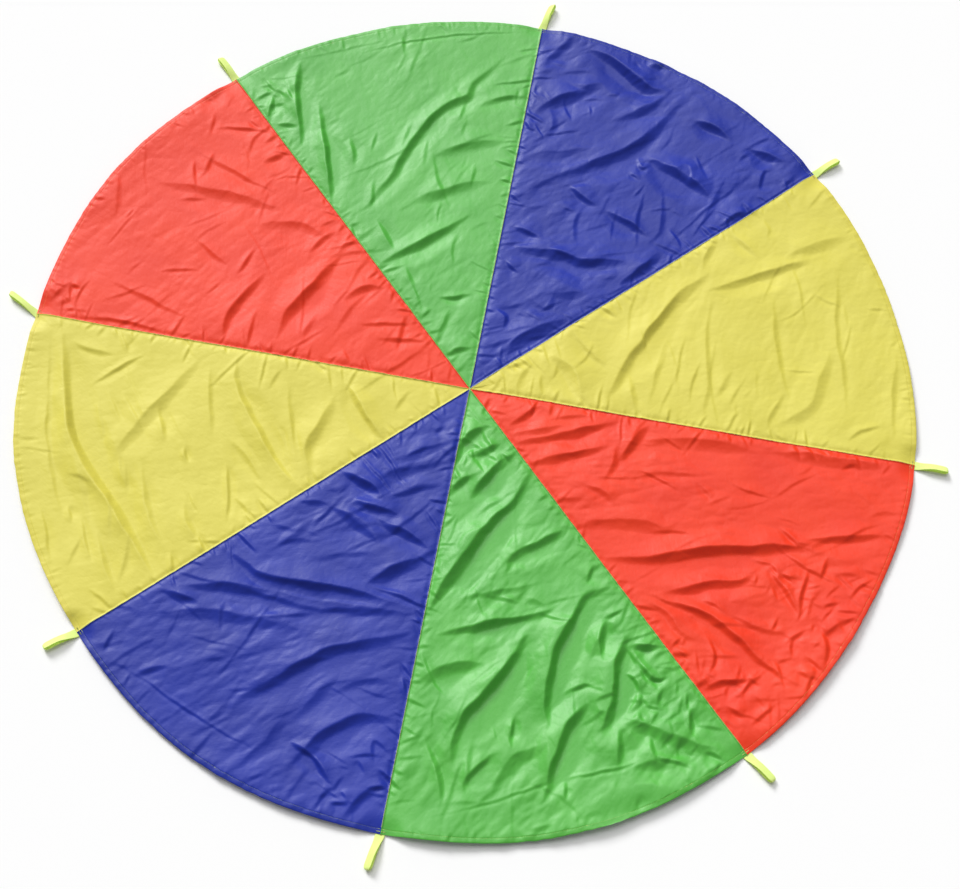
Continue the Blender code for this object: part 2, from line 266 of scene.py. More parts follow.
# The middle line of each fold's shaded side, by gore and kind, as shares of the canopy's radius
FOLD_LINE_SHARES: dict[int, dict[FoldKind, tuple[FoldLine, ...]]] = {
    # Yellow
    1: {
        FoldKind.STRONG: (
            (
                (0.50, 0.40), (0.44, 0.32), (0.41, 0.26), (0.38, 0.20), (0.35, 0.14), (0.33, 0.08),
                (0.305, 0.02),
            ),
        ),
        FoldKind.CLEAR: (
            ((0.76, 0.495), (0.70, 0.455), (0.61, 0.405), (0.54, 0.365), (0.48, 0.34)),
        ),
        FoldKind.SOFT: (
            ((0.81, 0.55), (0.74, 0.51), (0.66, 0.46)),
            ((0.50, 0.50), (0.49, 0.45), (0.48, 0.40)),
            ((0.16, 0.115), (0.21, 0.085), (0.24, 0.035), (0.255, 0.01)),
            ((0.80, 0.26), (0.785, 0.18), (0.77, 0.10), (0.73, 0.055), (0.68, 0.03)),
        ),
        FoldKind.NARROW: (
            ((0.065, 0.062), (0.12, 0.092)),
            ((0.93, 0.085), (0.88, 0.06), (0.85, 0.025)),
        ),
        FoldKind.FAINT: (
            ((0.45, 0.27), (0.42, 0.19), (0.41, 0.10), (0.40, 0.03)),
            ((0.345, 0.11), (0.37, 0.05), (0.375, 0.01)),
            ((0.20, 0.19), (0.235, 0.15), (0.30, 0.105)),
            ((0.13, 0.09), (0.11, 0.04), (0.11, 0.01)),
            ((0.155, 0.07), (0.165, 0.01)),
            ((0.51, 0.33), (0.51, 0.24), (0.53, 0.12), (0.525, 0.05), (0.54, 0.02)),
            ((0.65, 0.37), (0.66, 0.30), (0.68, 0.21), (0.70, 0.14), (0.72, 0.10)),
            ((0.79, 0.46), (0.80, 0.37), (0.81, 0.28), (0.83, 0.18), (0.845, 0.09)),
            ((0.945, 0.27), (0.945, 0.15), (0.95, 0.05)),
            ((0.60, 0.565), (0.62, 0.54), (0.615, 0.515)),
            ((0.53, 0.51), (0.60, 0.455)),
        ),
    },
    # Blue
    2: {
        FoldKind.BROAD: (
            ((0.20, 0.30), (0.24, 0.33), (0.30, 0.35)),
            ((0.12, 0.26), (0.17, 0.27), (0.23, 0.29)),
        ),
        FoldKind.STRONG: (
            (
                (0.385, 0.87), (0.34, 0.79), (0.30, 0.72), (0.24, 0.665), (0.16, 0.615), (0.09, 0.565),
                (0.03, 0.52),
            ),
            ((0.31, 0.685), (0.36, 0.65), (0.42, 0.62), (0.45, 0.605), (0.475, 0.59)),
            ((0.03, 0.385), (0.07, 0.37), (0.14, 0.37), (0.20, 0.36), (0.27, 0.375), (0.33, 0.385)),
            ((0.20, 0.22), (0.14, 0.175), (0.09, 0.13), (0.05, 0.09)),
            ((0.12, 0.96), (0.17, 0.94), (0.21, 0.91), (0.25, 0.88), (0.29, 0.865), (0.34, 0.87)),
            ((0.27, 0.93), (0.31, 0.945), (0.345, 0.94)),
            ((0.18, 0.87), (0.12, 0.82), (0.06, 0.78), (0.02, 0.74)),
            ((0.09, 0.985), (0.05, 0.93), (0.02, 0.88)),
            ((0.595, 0.71), (0.59, 0.68), (0.585, 0.635)),
            ((0.69, 0.725), (0.665, 0.69), (0.64, 0.655)),
            ((0.60, 0.59), (0.55, 0.56), (0.50, 0.52)),
            ((0.38, 0.43), (0.34, 0.37), (0.29, 0.32)),
        ),
        FoldKind.CLEAR: (
            ((0.35, 0.89), (0.31, 0.83), (0.25, 0.78), (0.20, 0.75)),
            ((0.13, 0.57), (0.18, 0.53), (0.215, 0.52)),
            ((0.23, 0.515), (0.28, 0.49), (0.34, 0.465)),
            ((0.02, 0.34), (0.04, 0.32), (0.06, 0.31)),
            ((0.02, 0.43), (0.06, 0.42), (0.10, 0.41)),
            ((0.02, 0.21), (0.05, 0.195), (0.05, 0.16)),
            ((0.09, 0.85), (0.16, 0.84)),
            ((0.40, 0.80), (0.45, 0.785), (0.50, 0.76)),
            ((0.54, 0.75), (0.58, 0.735), (0.64, 0.725)),
            ((0.52, 0.71), (0.55, 0.735)),
        ),
        FoldKind.SOFT: (
            ((0.22, 0.69), (0.12, 0.645), (0.02, 0.625)),
            ((0.02, 0.46), (0.06, 0.48), (0.11, 0.50)),
        ),
        FoldKind.NARROW: (
            ((0.24, 0.95), (0.265, 0.92)),
            ((0.42, 0.71), (0.44, 0.67), (0.46, 0.64)),
            ((0.385, 0.50), (0.41, 0.47), (0.42, 0.445)),
            ((0.28, 0.69), (0.30, 0.645), (0.33, 0.665)),
            ((0.27, 0.63), (0.30, 0.61)),
        ),
        FoldKind.FAINT: (
            ((0.36, 0.60), (0.37, 0.50), (0.34, 0.44)),
            ((0.50, 0.66), (0.48, 0.57), (0.45, 0.50)),
            ((0.20, 0.55), (0.17, 0.47), (0.18, 0.40)),
            ((0.08, 0.25), (0.14, 0.23), (0.16, 0.31)),
            ((0.05, 0.80), (0.08, 0.72), (0.03, 0.66)),
        ),
    },
    # Green
    3: {
        FoldKind.CLEAR: (
            (
                (-0.07, 0.91), (-0.10, 0.855), (-0.135, 0.80), (-0.14, 0.765), (-0.18, 0.735), (-0.20, 0.71),
                (-0.23, 0.65), (-0.26, 0.57), (-0.27, 0.52), (-0.30, 0.46), (-0.32, 0.42), (-0.35, 0.385),
            ),
            ((-0.075, 0.45), (-0.12, 0.395), (-0.17, 0.345), (-0.21, 0.315), (-0.25, 0.28), (-0.27, 0.255)),
            ((-0.56, 0.79), (-0.55, 0.71), (-0.535, 0.66), (-0.52, 0.60), (-0.51, 0.55)),
            ((-0.49, 0.68), (-0.445, 0.56), (-0.425, 0.50), (-0.405, 0.42), (-0.395, 0.395)),
            ((-0.01, 0.10), (-0.04, 0.09), (-0.07, 0.07)),
        ),
        FoldKind.SOFT: (
            ((-0.04, 0.545), (-0.10, 0.515), (-0.16, 0.48), (-0.23, 0.445)),
            ((-0.03, 0.66), (-0.10, 0.63), (-0.20, 0.58)),
        ),
        FoldKind.NARROW: (
            ((-0.605, 0.68), (-0.60, 0.65), (-0.605, 0.61)),
            ((-0.035, 0.235), (-0.07, 0.215), (-0.11, 0.21)),
            ((-0.12, 0.18), (-0.14, 0.15)),
            ((-0.35, 0.37), (-0.33, 0.335)),
        ),
        FoldKind.FAINT: (
            ((-0.40, 0.60), (-0.38, 0.56), (-0.375, 0.52)),
            ((-0.075, 0.19), (-0.085, 0.14), (-0.10, 0.10)),
            ((-0.29, 0.39), (-0.25, 0.34), (-0.235, 0.31)),
            ((-0.20, 0.28), (-0.17, 0.23)),
            ((-0.01, 0.79), (-0.05, 0.78), (-0.12, 0.74)),
        ),
        FoldKind.PRESSED: (
            ((-0.02, 0.985), (-0.14, 0.955), (-0.30, 0.90), (-0.44, 0.83)),
        ),
    },
    # Red
    4: {
        FoldKind.STRONG: (
            ((-0.35, 0.28), (-0.37, 0.235), (-0.39, 0.19), (-0.41, 0.15), (-0.435, 0.10), (-0.45, 0.04)),
            ((-0.945, 0.09), (-0.965, 0.05), (-0.985, 0.02)),
            ((-0.705, 0.695), (-0.74, 0.66), (-0.785, 0.61)),
        ),
        FoldKind.CLEAR: (
            ((-0.51, 0.20), (-0.545, 0.13), (-0.565, 0.08), (-0.57, 0.01)),
            ((-0.59, 0.49), (-0.56, 0.51), (-0.53, 0.53)),
            ((-0.32, 0.165), (-0.28, 0.20), (-0.23, 0.212)),
            ((-0.92, 0.06), (-0.95, 0.035), (-0.975, 0.01)),
        ),
        FoldKind.SOFT: (
            ((-0.57, 0.32), (-0.51, 0.33), (-0.46, 0.335), (-0.39, 0.315)),
            ((-0.82, 0.385), (-0.65, 0.38), (-0.50, 0.37)),
        ),
        FoldKind.NARROW: (
            ((-0.145, 0.20), (-0.165, 0.165)),
            ((-0.72, 0.56), (-0.65, 0.57), (-0.585, 0.575)),
            ((-0.28, 0.11), (-0.22, 0.12), (-0.15, 0.135)),
            ((-0.24, 0.08), (-0.18, 0.09), (-0.11, 0.10)),
            ((-0.36, 0.285), (-0.345, 0.31), (-0.315, 0.32)),
            ((-0.42, 0.34), (-0.385, 0.37)),
            ((-0.90, 0.012), (-0.80, 0.015), (-0.70, 0.008)),
            ((-0.91, 0.41), (-0.93, 0.365)),
        ),
        FoldKind.FAINT: (
            ((-0.76, 0.49), (-0.66, 0.455), (-0.60, 0.43), (-0.53, 0.41)),
            ((-0.69, 0.255), (-0.64, 0.22), (-0.60, 0.20)),
            ((-0.86, 0.11), (-0.75, 0.08), (-0.66, 0.05)),
            ((-0.37, 0.13), (-0.395, 0.04)),
            ((-0.30, 0.05), (-0.27, 0.01)),
        ),
        FoldKind.PRESSED: (
            ((-0.83, 0.32), (-0.86, 0.26), (-0.89, 0.19)),
        ),
    },
    # Yellow
    5: {
        FoldKind.STRONG: (
            (
                (-0.93, -0.02), (-0.90, -0.09), (-0.875, -0.16), (-0.85, -0.215), (-0.82, -0.275),
                (-0.78, -0.325), (-0.73, -0.38), (-0.68, -0.43), (-0.63, -0.49), (-0.57, -0.57),
            ),
        ),
        FoldKind.CLEAR: (
            ((-0.525, -0.02), (-0.51, -0.08), (-0.47, -0.14), (-0.42, -0.20), (-0.38, -0.25), (-0.32, -0.30)),
            ((-0.275, -0.04), (-0.24, -0.09), (-0.20, -0.13), (-0.16, -0.155)),
        ),
        FoldKind.SOFT: (
            ((-0.60, -0.03), (-0.64, -0.12), (-0.68, -0.20), (-0.71, -0.26), (-0.74, -0.34)),
            ((-0.29, -0.07), (-0.30, -0.15), (-0.32, -0.21), (-0.30, -0.27)),
        ),
        FoldKind.NARROW: (
            ((-0.49, -0.27), (-0.465, -0.34), (-0.455, -0.41)),
            ((-0.73, -0.05), (-0.78, -0.10), (-0.83, -0.155)),
        ),
        FoldKind.FAINT: (
            ((-0.825, -0.29), (-0.79, -0.35), (-0.76, -0.42), (-0.74, -0.47)),
            ((-0.72, -0.47), (-0.69, -0.54), (-0.65, -0.61)),
            ((-0.90, -0.05), (-0.86, -0.07), (-0.80, -0.07)),
            ((-0.785, -0.01), (-0.77, -0.06)),
            ((-0.42, -0.03), (-0.44, -0.09)),
            ((-0.40, -0.06), (-0.36, -0.18), (-0.33, -0.27)),
            ((-0.13, -0.03), (-0.15, -0.09)),
            ((-0.56, -0.38), (-0.53, -0.43), (-0.50, -0.47)),
            ((-0.67, -0.30), (-0.64, -0.38), (-0.60, -0.45), (-0.56, -0.50)),
            ((-0.58, -0.05), (-0.545, -0.17), (-0.53, -0.22)),
            ((-0.95, -0.04), (-0.90, -0.22), (-0.84, -0.38), (-0.78, -0.50)),
            ((-0.50, -0.22), (-0.45, -0.26), (-0.40, -0.31)),
        ),
    },
    # Blue
    6: {
        FoldKind.BROAD: (
            ((-0.01, -0.185), (-0.06, -0.20), (-0.12, -0.23), (-0.16, -0.25)),
            ((-0.25, -0.335), (-0.19, -0.36), (-0.15, -0.38), (-0.12, -0.40)),
        ),
        FoldKind.STRONG: (
            (
                (-0.55, -0.58), (-0.45, -0.56), (-0.35, -0.555), (-0.25, -0.555), (-0.15, -0.55),
                (-0.02, -0.545),
            ),
            (
                (-0.44, -0.475), (-0.40, -0.495), (-0.36, -0.52), (-0.28, -0.525), (-0.18, -0.52),
                (-0.06, -0.525),
            ),
            ((-0.01, -0.58), (-0.09, -0.615), (-0.17, -0.65), (-0.22, -0.69), (-0.28, -0.74), (-0.37, -0.81)),
            ((-0.01, -0.77), (-0.07, -0.775), (-0.12, -0.80), (-0.16, -0.84), (-0.21, -0.91)),
            ((-0.24, -0.25), (-0.19, -0.27), (-0.16, -0.285), (-0.13, -0.305)),
            ((-0.22, -0.31), (-0.16, -0.325), (-0.08, -0.335)),
            ((-0.01, -0.405), (-0.06, -0.44), (-0.10, -0.47), (-0.14, -0.505)),
        ),
        FoldKind.CLEAR: (
            ((-0.14, -0.305), (-0.11, -0.285), (-0.06, -0.255), (-0.01, -0.235)),
            ((-0.19, -0.345), (-0.12, -0.355), (-0.06, -0.375), (-0.01, -0.395)),
            ((-0.32, -0.335), (-0.25, -0.33)),
            ((-0.01, -0.13), (-0.07, -0.17), (-0.15, -0.215)),
            ((-0.56, -0.585), (-0.51, -0.595), (-0.46, -0.60)),
            ((-0.53, -0.83), (-0.54, -0.855)),
            ((-0.01, -0.90), (-0.05, -0.94), (-0.08, -0.99)),
        ),
        FoldKind.SOFT: (
            ((-0.61, -0.65), (-0.50, -0.63), (-0.42, -0.615), (-0.30, -0.61), (-0.16, -0.60)),
            ((-0.15, -0.69), (-0.18, -0.75), (-0.22, -0.80)),
            ((-0.23, -0.78), (-0.26, -0.86), (-0.31, -0.92)),
        ),
        FoldKind.NARROW: (
            ((-0.03, -0.10), (-0.06, -0.125)),
            ((-0.01, -0.84), (-0.05, -0.82), (-0.04, -0.87)),
            ((-0.63, -0.68), (-0.64, -0.74)),
        ),
        FoldKind.FAINT: (
            ((-0.37, -0.40), (-0.30, -0.405)),
            ((-0.28, -0.37), (-0.31, -0.42), (-0.36, -0.46)),
            ((-0.62, -0.76), (-0.57, -0.765)),
            ((-0.16, -0.88), (-0.18, -0.93), (-0.20, -0.975)),
            ((-0.66, -0.67), (-0.67, -0.72)),
            ((-0.02, -0.69), (-0.09, -0.70), (-0.16, -0.74)),
            ((-0.42, -0.88), (-0.36, -0.80), (-0.34, -0.73)),
            ((-0.26, -0.47), (-0.20, -0.44), (-0.12, -0.42)),
        ),
        FoldKind.PRESSED: (
            (
                (-0.64, -0.755), (-0.55, -0.775), (-0.48, -0.805), (-0.40, -0.835), (-0.30, -0.87),
                (-0.24, -0.895),
            ),
        ),
    },
    # Green
    7: {
        FoldKind.BROAD: (
            ((0.36, -0.40), (0.33, -0.44), (0.31, -0.49)),
            ((0.44, -0.69), (0.45, -0.74), (0.45, -0.78)),
        ),
        FoldKind.STRONG: (
            (
                (0.175, -0.19), (0.14, -0.265), (0.105, -0.32), (0.07, -0.39), (0.045, -0.44), (0.02, -0.50),
                (0.0, -0.54),
            ),
            (
                (0.385, -0.395), (0.335, -0.44), (0.315, -0.50), (0.295, -0.56), (0.29, -0.62), (0.29, -0.68),
                (0.305, -0.74),
            ),
            ((0.43, -0.50), (0.42, -0.57), (0.425, -0.62), (0.42, -0.68), (0.405, -0.715)),
            (
                (0.225, -0.52), (0.21, -0.59), (0.19, -0.64), (0.165, -0.68), (0.14, -0.72), (0.12, -0.77),
                (0.115, -0.84),
            ),
            ((0.38, -0.65), (0.345, -0.71), (0.335, -0.76), (0.325, -0.81), (0.31, -0.88)),
            ((0.12, -0.14), (0.085, -0.20), (0.045, -0.26)),
            ((0.06, -0.08), (0.015, -0.13), (0.0, -0.19)),
        ),
        FoldKind.CLEAR: (
            ((0.27, -0.285), (0.225, -0.33), (0.18, -0.36), (0.16, -0.38), (0.155, -0.41)),
            ((0.29, -0.47), (0.22, -0.50), (0.14, -0.535), (0.09, -0.555), (0.03, -0.58)),
            ((0.095, -0.12), (0.05, -0.15), (0.01, -0.165)),
            ((0.05, -0.20), (0.02, -0.23), (0.0, -0.27)),
            ((0.34, -0.355), (0.33, -0.405)),
            ((0.385, -0.47), (0.38, -0.52), (0.385, -0.57)),
            ((0.43, -0.525), (0.47, -0.52), (0.51, -0.51)),
            ((0.47, -0.59), (0.475, -0.635), (0.455, -0.67)),
            ((0.20, -0.79), (0.155, -0.86), (0.15, -0.89)),
            ((0.52, -0.60), (0.51, -0.64)),
        ),
        FoldKind.SOFT: (
            ((0.43, -0.675), (0.52, -0.70), (0.60, -0.715), (0.67, -0.705)),
            ((0.31, -0.75), (0.24, -0.81), (0.205, -0.88)),
            ((0.16, -0.615), (0.08, -0.645), (0.01, -0.685)),
            ((0.60, -0.80), (0.48, -0.845), (0.38, -0.90)),
            ((0.60, -0.745), (0.54, -0.755), (0.47, -0.78)),
        ),
        FoldKind.NARROW: (
            ((0.385, -0.615), (0.33, -0.64), (0.30, -0.675)),
            ((0.42, -0.44), (0.37, -0.48)),
            ((0.57, -0.60), (0.575, -0.645)),
            ((0.58, -0.63), (0.59, -0.70)),
            ((0.225, -0.71), (0.225, -0.765)),
            ((0.35, -0.82), (0.355, -0.87)),
            ((0.45, -0.545), (0.50, -0.585), (0.53, -0.57)),
            ((0.14, -0.97), (0.135, -0.995)),
            ((0.05, -0.01), (0.04, -0.06)),
        ),
        FoldKind.FAINT: (
            ((0.23, -0.42), (0.17, -0.45), (0.06, -0.49)),
            ((0.05, -0.79), (0.10, -0.87), (0.11, -0.93)),
        ),
        FoldKind.PRESSED: (
            ((0.06, -0.965), (0.20, -0.90), (0.32, -0.835), (0.45, -0.78), (0.57, -0.72), (0.66, -0.70)),
        ),
    },
    # Red
    8: {
        FoldKind.STRONG: (
            ((0.34, -0.345), (0.45, -0.33), (0.55, -0.30), (0.65, -0.275), (0.75, -0.25), (0.85, -0.245)),
            ((0.41, -0.01), (0.39, -0.05), (0.37, -0.09), (0.35, -0.115)),
        ),
        FoldKind.CLEAR: (
            ((0.47, -0.41), (0.56, -0.425), (0.62, -0.45), (0.68, -0.49), (0.73, -0.52), (0.79, -0.55)),
            ((0.48, -0.40), (0.55, -0.38), (0.60, -0.355), (0.66, -0.34), (0.70, -0.29)),
            ((0.35, -0.015), (0.25, -0.065), (0.11, -0.12)),
            ((0.34, -0.075), (0.25, -0.12), (0.15, -0.165)),
            ((0.17, -0.01), (0.13, -0.05), (0.10, -0.075)),
            ((0.77, -0.225), (0.85, -0.21), (0.96, -0.18)),
            ((0.835, -0.25), (0.825, -0.31)),
            ((0.84, -0.41), (0.855, -0.45), (0.85, -0.50)),
            ((0.60, -0.59), (0.65, -0.565), (0.69, -0.575)),
            ((0.79, -0.52), (0.84, -0.53)),
        ),
        FoldKind.SOFT: (
            ((0.39, -0.06), (0.47, -0.045), (0.60, -0.035), (0.66, -0.035)),
            ((0.68, -0.03), (0.75, -0.03), (0.84, -0.027), (0.95, -0.018)),
            ((0.28, -0.28), (0.35, -0.265), (0.42, -0.255), (0.48, -0.255), (0.51, -0.225)),
        ),
        FoldKind.NARROW: (
            ((0.70, -0.29), (0.75, -0.345), (0.79, -0.40)),
            ((0.80, -0.28), (0.79, -0.35), (0.79, -0.41)),
            ((0.81, -0.42), (0.76, -0.465)),
            ((0.945, -0.28), (0.91, -0.31), (0.89, -0.345)),
            ((0.59, -0.465), (0.62, -0.51), (0.61, -0.56)),
            ((0.74, -0.51), (0.70, -0.56), (0.67, -0.60)),
            ((0.76, -0.59), (0.71, -0.65)),
            ((0.52, -0.53), (0.57, -0.52)),
        ),
        FoldKind.FAINT: (
            ((0.29, -0.015), (0.22, -0.035), (0.17, -0.055)),
            ((0.37, -0.16), (0.46, -0.125), (0.56, -0.11)),
            ((0.345, -0.05), (0.35, -0.11), (0.33, -0.17)),
            ((0.29, -0.185), (0.34, -0.20), (0.36, -0.225)),
            ((0.22, -0.24), (0.30, -0.215)),
            ((0.84, -0.29), (0.92, -0.285)),
            ((0.44, -0.42), (0.50, -0.44), (0.53, -0.475), (0.58, -0.49)),
            ((0.62, -0.41), (0.70, -0.44), (0.78, -0.44)),
        ),
    },
}


@dataclass(frozen=True)
class CreaseHabit:
    """How one gore is creased: its small creases' number and main bearing, its crumples, its folds' depth."""

    count: int
    bearing_degrees: float
    crumple: float
    depth: float


CREASE_HABITS: dict[int, CreaseHabit] = {
    1: CreaseHabit(24, 75, 0.38, 0.90),
    2: CreaseHabit(48, 40, 0.80, 0.85),
    3: CreaseHabit(38, 60, 0.48, 1.32),
    4: CreaseHabit(40, 55, 0.45, 0.80),
    5: CreaseHabit(24, -60, 0.30, 1.00),
    6: CreaseHabit(52, 35, 0.80, 0.90),
    7: CreaseHabit(72, 60, 1.2, 1.65),
    8: CreaseHabit(44, 15, 0.58, 1.00),
}


@dataclass(frozen=True)
class CrumpledPatch:
    """A crumpled patch: its middle and radius as shares of the canopy's radius, and its number of creases."""

    across: float
    up: float
    radius: float
    count: int


CRUMPLED_PATCHES: tuple[CrumpledPatch, ...] = (
    CrumpledPatch(-0.60, 0.66, 0.07, 16),
    CrumpledPatch(0.52, -0.58, 0.10, 34),
    CrumpledPatch(0.80, -0.40, 0.14, 44),
    CrumpledPatch(0.68, -0.58, 0.10, 24),
    CrumpledPatch(-0.95, 0.05, 0.04, 12),
    CrumpledPatch(0.62, -0.74, 0.10, 22),
    CrumpledPatch(-0.08, -0.90, 0.08, 16),
    CrumpledPatch(0.05, 0.75, 0.08, 12),
    CrumpledPatch(0.04, -0.15, 0.06, 14),
)


@dataclass(frozen=True)
class Varied:
    """A size that differs from crease to crease: its usual value, its spread as a share, and its limits."""

    usual: float
    spread: float
    least: float
    most: float

    def draw(self, rng: np.random.Generator) -> float:
        """Draw one size from a seeded source."""
        return float(np.clip(rng.lognormal(math.log(self.usual), self.spread), self.least, self.most))


class ReliefMap:
    """Height of the laid cloth's folds over a square grid in plan, from their lines and seeded noise."""

    CELL = 1.6 * MM
    MARGIN = 60 * MM
    CURVE_STEP = 12 * MM
    # Away from the light in plan, where a fold's shaded side is
    SHADE_WAY = -heading(LIGHT_BEARING)
    # How far every fold's line wanders and kinks, and over what length
    WANDER = 5 * MM
    WANDER_LENGTH = 130 * MM
    KINK = 4 * MM
    KINK_LENGTH = 75 * MM
    BEND_ROOM = 12 * MM
    # The shaded and the lit side of a short fold are at most these shares of its length
    SHADED_SHARE = 0.16
    LIT_SHARE = 0.9
    # Sizes of the small creases, and of the tucks that the stitching draws in
    CREASE_LENGTH = Varied(100 * MM, 0.5, 35 * MM, 280 * MM)
    CREASE_WIDTH = Varied(6.0 * MM, 0.4, 3.5 * MM, 13 * MM)
    SEAM_TUCK_LENGTH = Varied(26 * MM, 0.65, 12 * MM, 140 * MM)
    HEM_TUCK_LENGTH = Varied(24 * MM, 0.5, 12 * MM, 110 * MM)
    # Length, width and height of the facets, from the coarse ones to the fine ones
    FACETS = ((210 * MM, 70 * MM, 3.8 * MM), (88 * MM, 34 * MM, 2.4 * MM), (40 * MM, 18 * MM, 1.35 * MM))
    # Over what width the crumples of two gores run into each other
    FACET_BLEND = 50 * MM
    PATCH_LENGTH = 210 * MM
    # Height and length of the slow waves, and of the swells
    WAVE = 4.5 * MM
    WAVE_LENGTH = 310 * MM
    SWELL = 2.0 * MM
    SWELL_LENGTH = 130 * MM
    MEAN_HEIGHT = 4.2 * MM

    def __init__(self, radius: float) -> None:
        """Start with a flat grid over a canopy of this radius."""
        self.radius = radius
        half = radius + self.MARGIN
        self.axis = np.arange(-half, half, self.CELL)
        self.x, self.y = np.meshgrid(self.axis, self.axis, indexing="ij")
        x, y = self.x / self.WANDER_LENGTH, self.y / self.WANDER_LENGTH
        self.bent_x = self.x + self.WANDER * GradientNoise(11)(x, y)
        self.bent_y = self.y + self.WANDER * GradientNoise(12)(x, y)
        x, y, kink = self.x / self.KINK_LENGTH, self.y / self.KINK_LENGTH, FacetNoise(14)
        self.bent_x += self.KINK * kink(x + 40, y)
        self.bent_y += self.KINK * kink(x, y + 40)
        self.unevenness = GradientNoise(13)
        self.folds = np.zeros((2, *self.x.shape))
        self.creases = np.zeros((2, *self.x.shape))
        self.height = np.zeros_like(self.x)

    @staticmethod
    def measure(curve: Points, x: Points, y: Points) -> tuple[Points, Points, float]:
        """Measure points against a curve.

        Args:
            curve: The curve's points.
            x: First coordinates of the points to measure.
            y: Their second coordinates.

        Returns:
            Each point's distance from the curve, below zero on its right, how far along the curve it lies,
            and the curve's length.
        """
        nearest = np.full(x.shape, np.inf)
        walked_to = np.zeros_like(x)
        side = np.zeros_like(x)
        walked = 0.0
        for start, stop in zip(curve, curve[1:]):
            way = stop - start
            span = float(np.linalg.norm(way))
            way = way / max(span, 1e-9)
            along = np.clip((x - start[0]) * way[0] + (y - start[1]) * way[1], 0.0, span)
            off_x = x - start[0] - along * way[0]
            off_y = y - start[1] - along * way[1]
            gap = np.hypot(off_x, off_y)
            nearer = gap < nearest
            nearest = np.where(nearer, gap, nearest)
            walked_to = np.where(nearer, walked + along, walked_to)
            side = np.where(nearer, way[0] * off_y - way[1] * off_x, side)
            walked += span
        return nearest * np.sign(side), walked_to, walked

    def profile(self, line: Points, shape: FoldShape) -> tuple[tuple[slice, slice], Points, Points]:
        """Work out one fold near its line: a gentle rise to its crest, a steep shaded side, a gentle valley.

        Args:
            line: The middle of the fold's shaded side in plan, in metres.
            shape: The fold's cross-section.

        Returns:
            The part of the grid near the line, the height of the crest over it and that of the valley.
        """
        curve = rounded(line, self.CURVE_STEP)
        length = float(np.linalg.norm(np.diff(curve, axis=0), axis=1).sum())
        full_width = min(shape.shaded, self.SHADED_SHARE * length)
        gentle = min(shape.lit, self.LIT_SHARE * length)
        reach = gentle + full_width + self.BEND_ROOM
        low = np.searchsorted(self.axis, curve.min(0) - reach)
        high = np.searchsorted(self.axis, curve.max(0) + reach)
        window = (slice(low[0], high[0]), slice(low[1], high[1]))
        off, walked_to, walked = self.measure(curve, self.bent_x[window], self.bent_y[window])
        chord = curve[-1] - curve[0]
        toward_shade = (chord[0] * self.SHADE_WAY[1] - chord[1] * self.SHADE_WAY[0]) / np.linalg.norm(chord)
        past = off * (1 if toward_shade > 0 else -1)
        # The fold runs out at both ends, and is wider here and narrower there
        taper = np.sin(math.pi * np.clip(walked_to / walked, 0, 1)) ** 0.75
        swell = 1 + 0.45 * self.unevenness(walked_to / (65 * MM), curve[0, 0] * 97 + past / (60 * MM))
        width = full_width * (0.08 + 0.92 * taper) * swell
        gentle = gentle * (0.35 + 0.65 * taper)
        past_crest = past + width / 2
        rise = np.clip(1 + past_crest / gentle, 0, 1) ** 1.3
        # Steepest just past the crest, and flatter toward the foot
        fall = 1 - (1 - np.clip(past_crest / width, 0, 1)) ** 1.5
        climb = np.clip(1 - (past_crest - width) / gentle, 0, 1) ** 1.3
        # A fold that runs along the light must be steeper to look as dark
        slope = shape.slope / np.clip(abs(toward_shade), 0.62, 1.0)
        half = 0.5 * slope * width * taper
        return window, half * np.where(past_crest < 0, rise, 1 - fall), -half * np.minimum(fall, climb)

    def lay(self, layer: Points, line: Points, shape: FoldShape) -> None:
        """Lay one fold where it is higher or deeper than the other folds of its layer.

        Args:
            layer: The crests and the valleys so far, of the main folds or of the small creases.
            line: The middle of the fold's shaded side in plan, in metres.
            shape: The fold's cross-section.
        """
        window, crest, valley = self.profile(line, shape)
        layer[0][window] = np.maximum(layer[0][window], crest)
        layer[1][window] = np.minimum(layer[1][window], valley)

    def lay_main_folds(self) -> None:
        """Lay the folds that the photograph shows, each as deep as the folds of its gore are."""
        for gore, lines_by_kind in FOLD_LINE_SHARES.items():
            for kind, lines in lines_by_kind.items():
                shape = replace(kind.value, slope=kind.value.slope * CREASE_HABITS[gore].depth)
                for shares in lines:
                    self.lay(self.folds, np.array(shares) * self.radius, shape)

    def scatter(
        self, middle: Points, bearing: float, rng: np.random.Generator, size: float, steepness: float
    ) -> None:
        """Lay one small crease of random length, bend and depth.

        Args:
            middle: Its middle in plan.
            bearing: The bearing it mostly keeps to.
            rng: The seeded source of its measures.
            size: The share of the usual length.
            steepness: The share of the usual slope.
        """
        length = size * self.CREASE_LENGTH.draw(rng)
        own_bearing = bearing + rng.normal(0, math.radians(20))
        # One in eight keeps to no bearing
        if rng.random() < 0.12:
            own_bearing = rng.uniform(0, math.pi)
        way = heading(own_bearing)
        bow = np.array([-way[1], way[0]]) * rng.normal(0, 0.04) * length
        line = np.array([middle - way * length / 2, middle + bow, middle + way * length / 2])
        shaded = self.CREASE_WIDTH.draw(rng)
        shape = FoldShape(shaded, steepness * rng.uniform(0.14, 0.40), shaded * rng.uniform(1.6, 4.0))
        self.lay(self.creases, line, shape)

